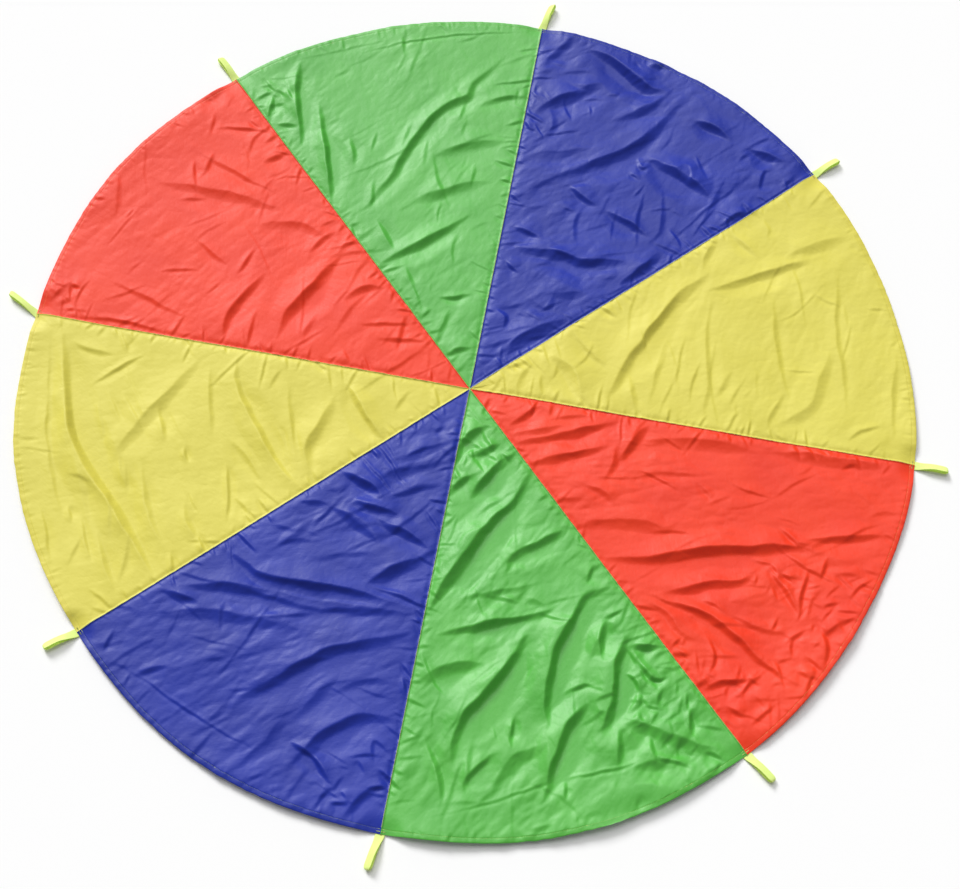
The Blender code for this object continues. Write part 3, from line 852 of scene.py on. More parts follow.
    def scatter_creases(self) -> None:
        """Lay the small creases of every gore and of the crumpled patches."""
        turn = GradientNoise(21)
        for gore, habit in CREASE_HABITS.items():
            rng = np.random.default_rng(300 + gore)
            for _ in range(habit.count):
                reach = self.radius * math.sqrt(rng.uniform(0.01, 0.96))
                middle = reach * heading((gore - 1 + rng.uniform(0.03, 0.97)) * GORE_ANGLE)
                swing = float(turn(middle[0] / 0.35, middle[1] / 0.35)) * 1.2
                self.scatter(middle, math.radians(habit.bearing_degrees) + swing, rng, 1.0, 1.0)
        rng = np.random.default_rng(400)
        for patch in CRUMPLED_PATCHES:
            for _ in range(patch.count):
                away = rng.normal(0, patch.radius * self.radius / 2, 2)
                middle = np.array([patch.across, patch.up]) * self.radius + away
                self.scatter(middle, rng.uniform(0, math.pi), rng, 0.45, 1.7)

    def scatter_tucks(self) -> None:
        """Lay the short folds off each seam and off the hem, where the stitching draws the cloth in."""
        rng = np.random.default_rng(500)
        for seam in range(GORE_COUNT):
            bearing = seam * GORE_ANGLE
            for side in (-1, 1):
                along = 50 * MM
                while along < 0.97 * self.radius:
                    away = heading(bearing + side * (math.pi / 2 + rng.normal(0, math.radians(26))))
                    root = along * heading(bearing)
                    way = self.SEAM_TUCK_LENGTH.draw(rng) * away
                    shaded = rng.uniform(3.5, 7.5) * MM
                    line = np.array([root - 0.3 * way, root + 0.5 * way, root + way])
                    self.lay(self.creases, line, FoldShape(shaded, rng.uniform(0.25, 0.55), shaded * 1.8))
                    along += rng.uniform(10, 38) * MM
        around = 0.0
        while around < 2 * math.pi:
            outward = heading(around)
            length = self.HEM_TUCK_LENGTH.draw(rng)
            lean = rng.normal(0, 0.35) * np.array([-outward[1], outward[0]])
            line = outward * self.radius * 0.998 - np.array([[0.0], [0.5], [1.0]]) * length * (outward + lean)
            shaded = rng.uniform(3.0, 6.5) * MM
            self.lay(self.creases, line, FoldShape(shaded, rng.uniform(0.16, 0.42), shaded * 1.8))
            around += rng.uniform(0.012, 0.045)

    def crumple(self) -> Points:
        """Draw facets out along each gore's main bearing, and blend them across the seams.

        Returns:
            Their height over the grid.
        """
        layers = [(FacetNoise(31 + at), *facet) for at, facet in enumerate(self.FACETS)]
        total = np.zeros_like(self.x)
        for gore, habit in CREASE_HABITS.items():
            first, last = (gore - 1) * GORE_ANGLE, gore * GORE_ANGLE
            inside = np.minimum(
                self.y * math.cos(first) - self.x * math.sin(first),
                self.x * math.sin(last) - self.y * math.cos(last),
            )
            share = eased(0.5 + inside / self.FACET_BLEND)
            here = share > 0
            along, across = turned(self.bent_x[here], self.bent_y[here], -math.radians(habit.bearing_degrees))
            height = sum(rise * noise(along / long, across / short) for noise, long, short, rise in layers)
            total[here] += share[here] * habit.crumple * height
        patches = eased(0.5 + 1.5 * GradientNoise(35)(self.x / self.PATCH_LENGTH, self.y / self.PATCH_LENGTH))
        return total * (0.3 + 0.7 * patches)

    def softened(self, height: Points) -> Points:
        """Round every crest and foot over about 1 mm, as cloth of this weight does.

        Args:
            height: A height over the grid.

        Returns:
            The rounded height.
        """
        weights = np.exp(-0.5 * (np.arange(-2, 3) / 0.65) ** 2)
        weights /= weights.sum()
        for direction in (0, 1):
            height = sum(
                weight * np.roll(height, shift, direction) for weight, shift in zip(weights, range(-2, 3))
            )
        return height

    def build(self) -> None:
        """Lay every fold and crease, and put them together with the slow waves and the crumples."""
        self.lay_main_folds()
        self.scatter_creases()
        self.scatter_tucks()
        slow = self.WAVE * GradientNoise(41)(self.x / self.WAVE_LENGTH, self.y / self.WAVE_LENGTH)
        swells = GradientNoise(42)(self.bent_x / self.SWELL_LENGTH, self.bent_y / self.SWELL_LENGTH)
        slow += self.SWELL * swells
        sharp = self.folds.sum(0) + self.creases.sum(0) + self.crumple()
        self.height = self.softened(sharp) + slow + self.MEAN_HEIGHT

    def at(self, x: Points, y: Points) -> Points:
        """Read the finished height at points in plan.

        Args:
            x: Their first coordinates.
            y: Their second coordinates.

        Returns:
            The height, one value a point.
        """
        u, v = (x - self.axis[0]) / self.CELL, (y - self.axis[0]) / self.CELL
        column, row = np.floor(u).astype(int), np.floor(v).astype(int)
        u, v = u - column, v - row
        low = self.height[column, row] * (1 - u) + self.height[column + 1, row] * u
        high = self.height[column, row + 1] * (1 - u) + self.height[column + 1, row + 1] * u
        return low * (1 - v) + high * v


@dataclass(frozen=True)
class Spots:
    """Where points of the cut lie against their nearest seam, numbered from 0, and against the rim."""

    seam: Points
    side: Points
    along: Points
    off: Points
    bearing: Points
    reach: Points
    edge: Points

    @classmethod
    def of(cls, x: Points, y: Points, radius: float) -> Spots:
        """Measure points of the cut.

        Args:
            x: Their first coordinates.
            y: Their second coordinates.
            radius: The canopy's radius.

        Returns:
            Their places: side is 1 to the left of the seam and -1 to its right, off is never below zero.
        """
        bearing = np.arctan2(y, x)
        seam = np.round(bearing / GORE_ANGLE)
        line = seam * GORE_ANGLE
        along = x * np.cos(line) + y * np.sin(line)
        off = y * np.cos(line) - x * np.sin(line)
        reach = np.hypot(x, y)
        return cls(
            np.mod(seam, GORE_COUNT), np.sign(off), along, np.abs(off), bearing, reach, radius - reach
        )


@dataclass
class LaidCloth:
    """Where any point of the flat cut lies when the canopy is spread out: in plan and in height."""

    radius: float
    seam_allowance: float = 11 * MM
    hem: float = 12 * MM
    rest_height: float = 0.9 * MM
    softness: float = 0.8 * MM

    # The webbing's sewn-in ends hold the cloth up at the end of each seam
    seat_height: float = 3.7 * MM
    seat_length: float = 24 * MM
    seat_fade: float = 60 * MM

    # The ridge of a seam. One seam is pressed to its right, and its allowance stands up on the left
    seam_rise: float = 1.5 * MM
    seam_width: float = 2.3 * MM
    stepped_seam: int = 2
    pressed_width: float = 16.1 * MM
    welt_rise: float = 1.1 * MM
    welt_place: float = 7 * MM
    welt_width: float = 2.8 * MM

    # Puckers along seams and hem
    pucker: float = 2.56 * MM
    pucker_wave: float = 16 * MM
    fine_pucker_wave: float = 7.52 * MM
    pucker_reach: float = 8 * MM
    pucker_swell: float = 110 * MM
    hem_pucker: float = 1.2 * MM
    hem_pucker_waves: tuple[float, float] = (12 * MM, 6.5 * MM)
    hem_pucker_reach: float = 9 * MM
    stitch_inset: float = 10 * MM
    stitch_dent: float = 0.35 * MM
    stitch_dent_width: float = 1.2 * MM

    # The rim stands off the floor, most of all on its high side, and turns down at its very edge
    rim_lift: float = 15.0 * MM
    rim_lift_reach: float = 85 * MM
    rim_lift_wave: float = 190 * MM
    rim_held_reach: float = 45 * MM
    rim_dip: float = 1.5 * MM
    rim_dip_reach: float = 1.3 * MM
    high_side: float = math.radians(-80)

    # Nothing stands higher than the ceiling, and two halves folded together fit into the fold's room
    ceiling: float = 19.5 * MM
    fold_room: float = 30.0 * MM

    # How far each gore's rim bulges, and how far and how often all of it is scalloped
    bulge_shares: tuple[float, ...] = (-0.005, 0.001, 0.002, 0.007, 0.010, 0.007, 0.007, -0.009)
    scallop: float = 1.6 * MM
    scallop_waves: tuple[float, float] = (17 * MM, 60 * MM)
    relief: ReliefMap = field(init=False)

    def __post_init__(self) -> None:
        """Work out the folds once."""
        self.relief = ReliefMap(self.radius)
        self.relief.build()
        self.ripple = GradientNoise(51)
        self.slow = GradientNoise(52)

    def seat_share(self, at: Spots) -> Points:
        """How much the cloth is held up by the webbing's sewn-in ends.

        Args:
            at: Where the points lie.

        Returns:
            Shares from 0 to 1, one a point.
        """
        past = np.hypot(
            np.maximum(0.0, at.off - self.seam_allowance), np.maximum(0.0, at.edge - self.seat_length)
        )
        return np.where(at.edge < 0.4 * self.radius, 1 - eased(past / self.seat_fade), 0.0)

    def pucker_height(self, at: Spots) -> Points:
        """Height of the puckers that the stitching draws in along the seams and the hem.

        Args:
            at: Where the points lie.

        Returns:
            The height, one value a point.
        """
        skewed = at.along + 0.4 * at.off
        row = at.seam * 3.7 + at.side * 1.31
        wave = self.ripple(skewed / self.pucker_wave, row)
        wave = wave + 0.6 * self.ripple(skewed / self.fine_pucker_wave + 31, row)
        swell = 0.55 + self.slow(at.along / self.pucker_swell, at.seam * 2.3 + at.side * 0.71 + 9)
        near_seam = np.exp(-at.off / self.pucker_reach) * eased(at.reach / (50 * MM))
        pucker = self.pucker * wave * np.clip(swell, 0.15, 1.2) * near_seam
        coarse, fine = (at.bearing * self.radius / wave for wave in self.hem_pucker_waves)
        flute = self.ripple(coarse, 7.7) + 0.5 * self.ripple(fine, 17.7)
        near_hem = np.exp(-np.maximum(0, at.edge - self.hem) / self.hem_pucker_reach)
        return pucker + self.hem_pucker * flute * near_hem

    def ridge_height(self, at: Spots) -> Points:
        """Height of the seams' ridges, and depth of the line that the hem's stitches press in.

        Args:
            at: Where the points lie.

        Returns:
            The height, one value a point.
        """
        stepped = at.seam == self.stepped_seam - 1
        width = np.where(stepped & (at.side < 0), self.pressed_width, self.seam_width)
        ridge = self.seam_rise * np.exp(-((at.off / width) ** 2))
        welt = self.welt_rise * np.exp(-(((at.off - self.welt_place) / self.welt_width) ** 2))
        ridge = ridge + np.where(stepped & (at.side > 0), welt, 0)
        dent = self.stitch_dent * np.exp(-(((at.edge - self.stitch_inset) / self.stitch_dent_width) ** 2))
        return ridge * eased(at.reach / (6 * MM)) - dent

    def rim_height(self, at: Spots, seat: Points) -> Points:
        """How far the rim stands off the floor.

        Args:
            at: Where the points lie.
            seat: How much each is held up by the webbing.

        Returns:
            The height, one value a point.
        """
        near = 0.5 + 0.5 * np.cos(at.bearing - self.high_side)
        swell = 0.75 + 0.7 * self.slow(at.bearing * self.radius / self.rim_lift_wave, 3.3)
        lift = self.rim_lift * np.clip(swell, 0.5, 1.0) * (0.5 + 0.5 * near)
        lift = lift * np.exp(-at.edge / self.rim_lift_reach)
        held = 1 - np.hypot(np.maximum(0.0, at.off - self.seam_allowance), at.edge) / self.rim_held_reach
        dip = self.rim_dip * np.exp(-at.edge / self.rim_dip_reach) * (1 - 0.8 * seat)
        return lift * (1 - eased(held)) - dip

    def loose_height(self, x: Points, y: Points) -> Points:
        """Height of the cloth over the floor, by its folds, seams, hem and rim.

        Args:
            x: First coordinates in the cut.
            y: Second coordinates in the cut.

        Returns:
            The height, one value a point.
        """
        at = Spots.of(x, y, self.radius)
        seat = self.seat_share(at)
        # Folds are lower at the centre, beside a seam, over the hem and where the webbing lies
        calm = eased(at.reach / (90 * MM)) * (1 - 0.45 * np.exp(-((at.off / (9 * MM)) ** 2)))
        calm = calm * (1 - 0.35 * np.exp(-((at.edge / (10 * MM)) ** 2))) * (1 - seat)
        free = self.relief.at(x, y) * calm + self.pucker_height(at) * (1 - 0.6 * seat)
        free = self.softness * np.logaddexp(0.0, free / self.softness)
        base = self.rest_height + (self.seat_height - self.rest_height) * seat
        room = self.ceiling - (base + free + self.ridge_height(at) + self.rim_height(at, seat))
        return self.ceiling - 1.0 * MM * np.logaddexp(0.0, room / (1.0 * MM))

    def height(self, x: Points, y: Points) -> Points:
        """Height of the cloth over the floor, with room for both halves when one lies folded on the other.

        Args:
            x: First coordinates in the cut.
            y: Second coordinates in the cut.

        Returns:
            The height, one value a point.
        """
        x, y = np.broadcast_arrays(np.asarray(x, float), np.asarray(y, float))
        own = np.array(self.loose_height(x, y))
        tall = own > self.fold_room - self.ceiling
        both = own[tall] + self.loose_height(x[tall], -y[tall])
        own[tall] *= self.fold_room / np.maximum(both, self.fold_room)
        return own

    def plan(self, x: Points, y: Points) -> tuple[Points, Points]:
        """Where points of the cut lie in plan, with the rim's slight bulges and its scallops.

        Args:
            x: First coordinates in the cut.
            y: Second coordinates in the cut.

        Returns:
            Their first and second coordinates as laid.
        """
        x, y = np.asarray(x, float), np.asarray(y, float)
        bearing = np.mod(np.arctan2(y, x), 2 * math.pi)
        gore = np.minimum((bearing / GORE_ANGLE).astype(int), GORE_COUNT - 1)
        middle = np.sin(math.pi * (bearing / GORE_ANGLE - gore)) ** 2
        reach = np.hypot(x, y) / self.radius
        bulge = np.array(self.bulge_shares)[gore] * middle * reach**2
        fine, coarse = (bearing * self.radius / wave for wave in self.scallop_waves)
        scallops = self.ripple(fine, 5.1) + self.ripple(coarse, 9.4)
        bulge = bulge + self.scallop / self.radius * scallops * middle * np.exp(-(1 - reach) / 0.02)
        return x * (1 + bulge), y * (1 + bulge)

    def place(self, x: Points, y: Points, over: Points | float = 0.0) -> Points:
        """Points as laid, at a height over or under the cloth.

        Args:
            x: First coordinates in the cut.
            y: Second coordinates in the cut.
            over: Distance over the cloth.

        Returns:
            One point a row.
        """
        laid_x, laid_y = self.plan(x, y)
        return np.stack([laid_x, laid_y, self.height(x, y) + over], axis=-1)


# Finishes


class Finish:
    """A surface finish that makes one Blender material."""

    def new_tree(self, name: str) -> tuple[bpy.types.Material, bpy.types.NodeTree, Node]:
        """Start a material with one Principled shader.

        Args:
            name: The material's name.

        Returns:
            The material, its node tree and the shader.
        """
        made = bpy.data.materials.new(name)
        made.use_nodes = True
        return made, made.node_tree, made.node_tree.nodes["Principled BSDF"]


@dataclass(frozen=True)
class Taffeta(Finish):
    """Polyester taffeta, plain woven from filament yarn and calendered: smooth, with a soft silky sheen."""

    name: str
    pale: str
    deep: str
    roughness: float
    gloss: float
    hem_tint: str = "#F9F3DD"
    hem_share: float = 0.3
    # The real threads lie 0.25 mm apart, which no view here resolves, so they are drawn five times as coarse
    thread_pitch: float = 1.3 * MM
    thread_height: float = 0.12 * MM
    slub_length: float = 70 * MM
    slub_width: float = 1.5 * MM
    dye_patch: float = 143 * MM
    crinkle: float = 10.53 * MM
    crinkle_height: float = 1.1 * MM
    # Length, width, depth and turn of the creased facets, coarse ones and fine ones
    facets: tuple[tuple[float, float, float, float], ...] = (
        (75 * MM, 38 * MM, 1.8 * MM, 0.0),
        (34 * MM, 12 * MM, 0.5 * MM, math.radians(50)),
    )

    def make(self, gore: int, bearing: float, hem_edge: float) -> bpy.types.Material:
        """Make the cloth of one gore, with its warp along the gore.

        Args:
            gore: The gore's number.
            bearing: The bearing of the gore's middle line.
            hem_edge: The radius past which the turned-under hem doubles the cloth.

        Returns:
            The material.
        """
        made, tree, shader = self.new_tree(f"{self.name}_gore_{gore}")
        cut = add_node(tree, "UVMap", uv_map="cut").outputs["UV"]
        warp = add_node(tree, "Mapping", {"Vector": cut, "Rotation": (0.0, 0.0, -bearing)}).outputs["Vector"]
        # Thicker yarns show as faint streaks along the warp
        slub_scale = (1 / self.slub_length, 1 / self.slub_width, 1.0)
        stretched = add_node(tree, "Mapping", {"Vector": warp, "Scale": slub_scale})
        slubs = add_node(
            tree, "TexNoise", {"Vector": stretched.outputs["Vector"], "Scale": 1.0, "Detail": 2.0}
        )
        rough = add_node(
            tree,
            "MapRange",
            {
                "Value": slubs.outputs["Fac"],
                "From Min": 0.3,
                "From Max": 0.7,
                "To Min": self.roughness - 0.02,
                "To Max": self.roughness + 0.03,
            },
        )
        colour = self.dyed(tree, cut, slubs.outputs["Fac"], hem_edge)
        tree.links.new(colour, shader.inputs["Base Color"])
        tree.links.new(rough.outputs["Result"], shader.inputs["Roughness"])
        tree.links.new(self.creased(tree, cut, warp), shader.inputs["Normal"])
        shader.inputs["Specular IOR Level"].default_value = self.gloss
        return made

    def dyed(
        self,
        tree: bpy.types.NodeTree,
        cut: bpy.types.NodeSocket,
        slubs: bpy.types.NodeSocket,
        hem_edge: float,
    ) -> bpy.types.NodeSocket:
        """Colour the cloth, which takes its dye a little unevenly.

        Args:
            tree: The material's nodes.
            cut: The place in the flat cut.
            slubs: How thick the yarn is.
            hem_edge: The radius past which the hem doubles the cloth.

        Returns:
            The colour.
        """
        dye = add_node(tree, "TexNoise", {"Vector": cut, "Scale": 1 / self.dye_patch, "Detail": 4.0})
        shade = add_node(
            tree, "Math", {0: slubs, 1: 0.25, 2: dye.outputs["Fac"]}, operation="MULTIPLY_ADD"
        )
        spread = add_node(
            tree, "MapRange", {"Value": shade.outputs["Value"], "From Min": 0.42, "From Max": 0.83}
        )
        ramp = add_node(
            tree,
            "Mix",
            {0: spread.outputs["Result"], 6: linear(self.deep), 7: linear(self.pale)},
            data_type="RGBA",
        )
        # Doubled cloth lets less light through, so the hem's dye looks deeper
        reach = add_node(tree, "VectorMath", {0: cut}, operation="LENGTH")
        hem = add_node(
            tree,
            "MapRange",
            {
                "Value": reach.outputs["Value"],
                "From Min": hem_edge - 1 * MM,
                "From Max": hem_edge + 1 * MM,
                "To Max": self.hem_share,
            },
        )
        doubled = add_node(
            tree,
            "Mix",
            {0: hem.outputs["Result"], 6: ramp.outputs[2], 7: linear(self.hem_tint)},
            data_type="RGBA",
            blend_type="MULTIPLY",
        )
        return doubled.outputs[2]

    def creased(
        self, tree: bpy.types.NodeTree, cut: bpy.types.NodeSocket, warp: bpy.types.NodeSocket
    ) -> bpy.types.NodeSocket:
        """Give the cloth the relief that is too fine for its mesh.

        Flat facets meet in sharp lines, soft crinkles lie over them, and the weave over both.

        Args:
            tree: The material's nodes.
            cut: The place in the flat cut.
            warp: The same place, turned so that the warp runs along the first axis.

        Returns:
            The normal.
        """
        inputs = {}
        for length, width, depth, turn in self.facets:
            skewed = add_node(tree, "Mapping", {"Vector": warp, "Rotation": (0.0, 0.0, turn)})
            drawn = add_node(
                tree, "Mapping", {"Vector": skewed.outputs["Vector"], "Scale": (1 / length, 1 / width, 1.0)}
            )
            swells = add_node(
                tree,
                "TexNoise",
                {"Vector": drawn.outputs["Vector"], "Scale": 1.0, "Detail": 2.0, "Roughness": 0.45},
            )
            folded = add_node(tree, "Math", {0: swells.outputs["Fac"], 1: 0.5}, operation="SUBTRACT")
            facets = add_node(tree, "Math", {0: folded.outputs["Value"]}, operation="ABSOLUTE")
            inputs |= {"Height": facets.outputs["Value"], "Strength": 1.0, "Distance": depth}
            inputs = {"Normal": add_node(tree, "Bump", inputs).outputs["Normal"]}
        crinkles = add_node(
            tree, "TexNoise", {"Vector": cut, "Scale": 1 / self.crinkle, "Detail": 3.0, "Roughness": 0.55}
        )
        inputs |= {"Height": crinkles.outputs["Fac"], "Strength": 0.35, "Distance": self.crinkle_height}
        inputs = {"Normal": add_node(tree, "Bump", inputs).outputs["Normal"]}
        waves = [
            add_node(
                tree,
                "TexWave",
                {"Vector": warp, "Scale": wave_scale(self.thread_pitch), "Distortion": 0.0},
                bands_direction=direction,
            )
            for direction in ("X", "Y")
        ]
        weave = add_node(
            tree, "Math", {0: waves[0].outputs["Fac"], 1: waves[1].outputs["Fac"]}, operation="MULTIPLY"
        )
        inputs |= {"Height": weave.outputs["Value"], "Strength": 0.22, "Distance": self.thread_height}
        return add_node(tree, "Bump", inputs).outputs["Normal"]


class ClothColour(Enum):
    """The four dyes of the canopy, in the order in which the gores repeat."""

    YELLOW = Taffeta("yellow_taffeta", "#E4DA5F", "#DCD252", 0.52, 0.45)
    BLUE = Taffeta("blue_taffeta", "#1E33A5", "#172C99", 0.45, 0.38)
    GREEN = Taffeta("green_taffeta", "#58BA42", "#4CB038", 0.48, 0.72)
    RED = Taffeta("red_taffeta", "#F93E15", "#F13410", 0.50, 0.45)


@dataclass(frozen=True)
class PolypropyleneWebbing(Finish):
    """Neon polypropylene webbing, woven thick and matt: coarse ribs across it catch the light one by one."""

    # The webbing's own colour, and a darker one for the weave's low places: painted shade between the ribs
    ground: str = "#EEFFA2"
    gap: str = "#DEF778"
    rib: float = 2.2 * MM
    end: float = 1.76 * MM
    fuzz: float = 1.11 * MM
    weave_height: float = 0.35 * MM
    roughness: float = 0.62
    gloss: float = 0.35

    def make(self) -> bpy.types.Material:
        """Make the handles' webbing.

        Returns:
            The material.
        """
        made, tree, shader = self.new_tree("neon_polypropylene_webbing")
        run = add_node(tree, "UVMap", uv_map="cut").outputs["UV"]
        ribs = add_node(
            tree,
            "TexWave",
            {"Vector": run, "Scale": wave_scale(self.rib), "Distortion": 0.6},
            bands_direction="X",
        )
        ends = add_node(
            tree,
            "TexWave",
            {"Vector": run, "Scale": wave_scale(self.end), "Distortion": 0.4},
            bands_direction="Y",
        )
        weave = add_node(
            tree, "Math", {0: ribs.outputs["Fac"], 1: ends.outputs["Fac"]}, operation="MULTIPLY"
        )
        fuzz = add_node(tree, "TexNoise", {"Vector": run, "Scale": 1 / self.fuzz, "Detail": 2.0})
        tone = add_node(
            tree,
            "Math",
            {0: fuzz.outputs["Fac"], 1: 0.5, 2: weave.outputs["Value"]},
            operation="MULTIPLY_ADD",
        ).outputs["Value"]
        # Painted shade: the weave's low places take the darker gap colour, and the fuzz varies the tone at
        # random
        ramp = add_node(
            tree, "Mix", {0: tone, 6: linear(self.gap), 7: linear(self.ground)}, data_type="RGBA"
        )
        tree.links.new(ramp.outputs[2], shader.inputs["Base Color"])
        bump = add_node(tree, "Bump", {"Height": tone, "Strength": 0.5, "Distance": self.weave_height})
        tree.links.new(bump.outputs["Normal"], shader.inputs["Normal"])
        shader.inputs["Roughness"].default_value = self.roughness
        shader.inputs["Specular IOR Level"].default_value = self.gloss
        return made


@dataclass(frozen=True)
class PolyesterThread(Finish):
    """Spun polyester sewing thread: two twisted plies, so each stitch has a slanting rib and a dull gloss."""

    # The thread's own colour, and a darker one painted into the groove between the plies as shade
    light: str = "#E9F2A0"
    groove_shade: str = "#B7C864"
    twist: float = 0.9 * MM
    ply_height: float = 0.1 * MM
    roughness: float = 0.5

    def make(self) -> bpy.types.Material:
        """Make the sewing thread.

        Returns:
            The material.
        """
        made, tree, shader = self.new_tree("spun_polyester_thread")
        place = add_node(tree, "TexCoord").outputs["Object"]
        plies = add_node(
            tree,
            "TexWave",
            {"Vector": place, "Scale": wave_scale(self.twist), "Distortion": 1.0},
            bands_direction="DIAGONAL",
        ).outputs["Fac"]
        # Painted shade: the groove between the twisted plies takes the darker colour
        ramp = add_node(
            tree, "Mix", {0: plies, 6: linear(self.groove_shade), 7: linear(self.light)}, data_type="RGBA"
        )
        tree.links.new(ramp.outputs[2], shader.inputs["Base Color"])
        bump = add_node(tree, "Bump", {"Height": plies, "Strength": 0.4, "Distance": self.ply_height})
        tree.links.new(bump.outputs["Normal"], shader.inputs["Normal"])
        shader.inputs["Roughness"].default_value = self.roughness
        return made


@dataclass(frozen=True)
class PaperSweep(Finish):
    """Matt white paper: it takes the object's soft shadow and shows white where no shadow falls."""

    tone: str = "#FFFFFF"
    roughness: float = 0.9
    gloss: float = 0.1

    def make(self) -> bpy.types.Material:
        """Make the floor.

        Returns:
            The material.
        """
        made, _, shader = self.new_tree("matt_white_paper")
        shader.inputs["Base Color"].default_value = linear(self.tone)
        shader.inputs["Roughness"].default_value = self.roughness
        shader.inputs["Specular IOR Level"].default_value = self.gloss
        return made


# Pieces


def new_piece(name: str, mesh: bpy.types.Mesh, finish: bpy.types.Material) -> bpy.types.Object:
    """Put a finished mesh in the scene as one piece.

    Args:
        name: The piece's name.
        mesh: Its mesh, in the frame's metres.
        finish: Its material.

    Returns:
        The new object.
    """
    mesh.materials.append(finish)
    mesh.shade_smooth()
    piece = bpy.data.objects.new(name, mesh)
    bpy.context.scene.collection.objects.link(piece)
    return piece


def mesh_of(name: str, points: Points, faces: Faces, cut: Points | None = None) -> bpy.types.Mesh:
    """Make a mesh with an optional map of its flat cut.

    Args:
        name: The mesh's name.
        points: One point a row.
        faces: The corners of each face.
        cut: The flat place of each point, in metres.

    Returns:
        The mesh.
    """
    mesh = bpy.data.meshes.new(name)
    mesh.from_pydata(points.tolist(), [], faces)
    if cut is not None:
        layer = mesh.uv_layers.new(name="cut")
        corners = np.empty(len(mesh.loops), np.int32)
        mesh.loops.foreach_get("vertex_index", corners)
        layer.data.foreach_set("uv", cut[corners].astype(np.float32).ravel())
    mesh.update()
    return mesh


def grid_faces(first: int, rows: int, columns: int, flipped: bool = False) -> Faces:
    """Quads over a block of points that are numbered row by row.

    Args:
        first: The number of the block's first point.
        rows: How many rows of points it has.
        columns: How many points a row has.
        flipped: True if the faces look the other way.

    Returns:
        The corners of each quad.
    """
    row, column = np.meshgrid(np.arange(rows - 1), np.arange(columns - 1), indexing="ij")
    start = (first + row * columns + column).ravel()
    quads = np.stack([start, start + columns, start + columns + 1, start + 1], axis=1)
    return [tuple(quad) for quad in (quads[:, ::-1] if flipped else quads).tolist()]


def ring_faces(rings: int, count: int, flipped: bool = False) -> Faces:
    """Quads round a row of closed rings of points that are numbered ring by ring, and a cap at each end.

    Args:
        rings: How many rings there are.
        count: How many points a ring has.
        flipped: True if the faces look the other way.

    Returns:
        The corners of each face.
    """
    faces = []
    for ring in range(rings - 1):
        for side in range(count):
            here, after = ring * count + side, ring * count + (side + 1) % count
            quad = (here, after, after + count, here + count)
            faces.append(quad[:1] + quad[:0:-1] if flipped else quad)
    caps = [tuple(range(count))[::-1], tuple(range((rings - 1) * count, rings * count))]
    return faces + [cap[::-1] if flipped else cap for cap in caps]


def tube(path: Points, radius: float, sides: int) -> Shell:
    """Make a closed round tube along a path.

    Args:
        path: The middle line, one point a row.
        radius: The tube's radius.
        sides: How many sides it has.

    Returns:
        Its points and its faces.
    """
    way = np.gradient(path, axis=0)
    way /= np.linalg.norm(way, axis=1, keepdims=True)
    flat = np.cross(way, (0.0, 0.0, 1.0))
    flat /= np.maximum(np.linalg.norm(flat, axis=1, keepdims=True), 1e-9)
    upward = np.cross(flat, way)
    turn = 2 * math.pi * np.arange(sides) / sides
    ring = np.cos(turn)[None, :, None] * flat[:, None] + np.sin(turn)[None, :, None] * upward[:, None]
    return (path[:, None] + radius * ring).reshape(-1, 3), ring_faces(len(path), sides)


def joined(shells: list[Shell]) -> Shell:
    """Put several sets of points and faces together.

    Args:
        shells: The sets.

    Returns:
        One set.
    """
    points, faces, count = [], [], 0
    for part_points, part_faces in shells:
        points.append(part_points)
        faces.extend(tuple(count + corner for corner in face) for face in part_faces)
        count += len(part_points)
    return np.vstack(points), faces


@dataclass
class Crease:
    """The soft bend in the canopy when it is folded in half, just past the webbing of the two end handles."""

    start: float = -11 * MM
    end: float = -36 * MM

    def carry(self, piece: bpy.types.Object, half: str, near_crease: bool) -> None:
        """Make a piece move with its half; one that lies next to the crease is not attached, its transform
        baked.

        Args:
            piece: The piece.
            half: The body it belongs to.
            near_crease: True if it reaches into the bend.
        """
        if near_crease:
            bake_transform(piece)
        else:
            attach(piece, half)


def half_of_gore(gore: int) -> str:
    """The half of the canopy that a gore belongs to."""
    return FAR_HALF if gore <= HALF_COUNT else NEAR_HALF


def half_of_seam(seam: int) -> str:
    """The half of the canopy that a seam belongs to. The crease's two seams stay with the far half."""
    return FAR_HALF if seam <= HALF_COUNT + 1 else NEAR_HALF


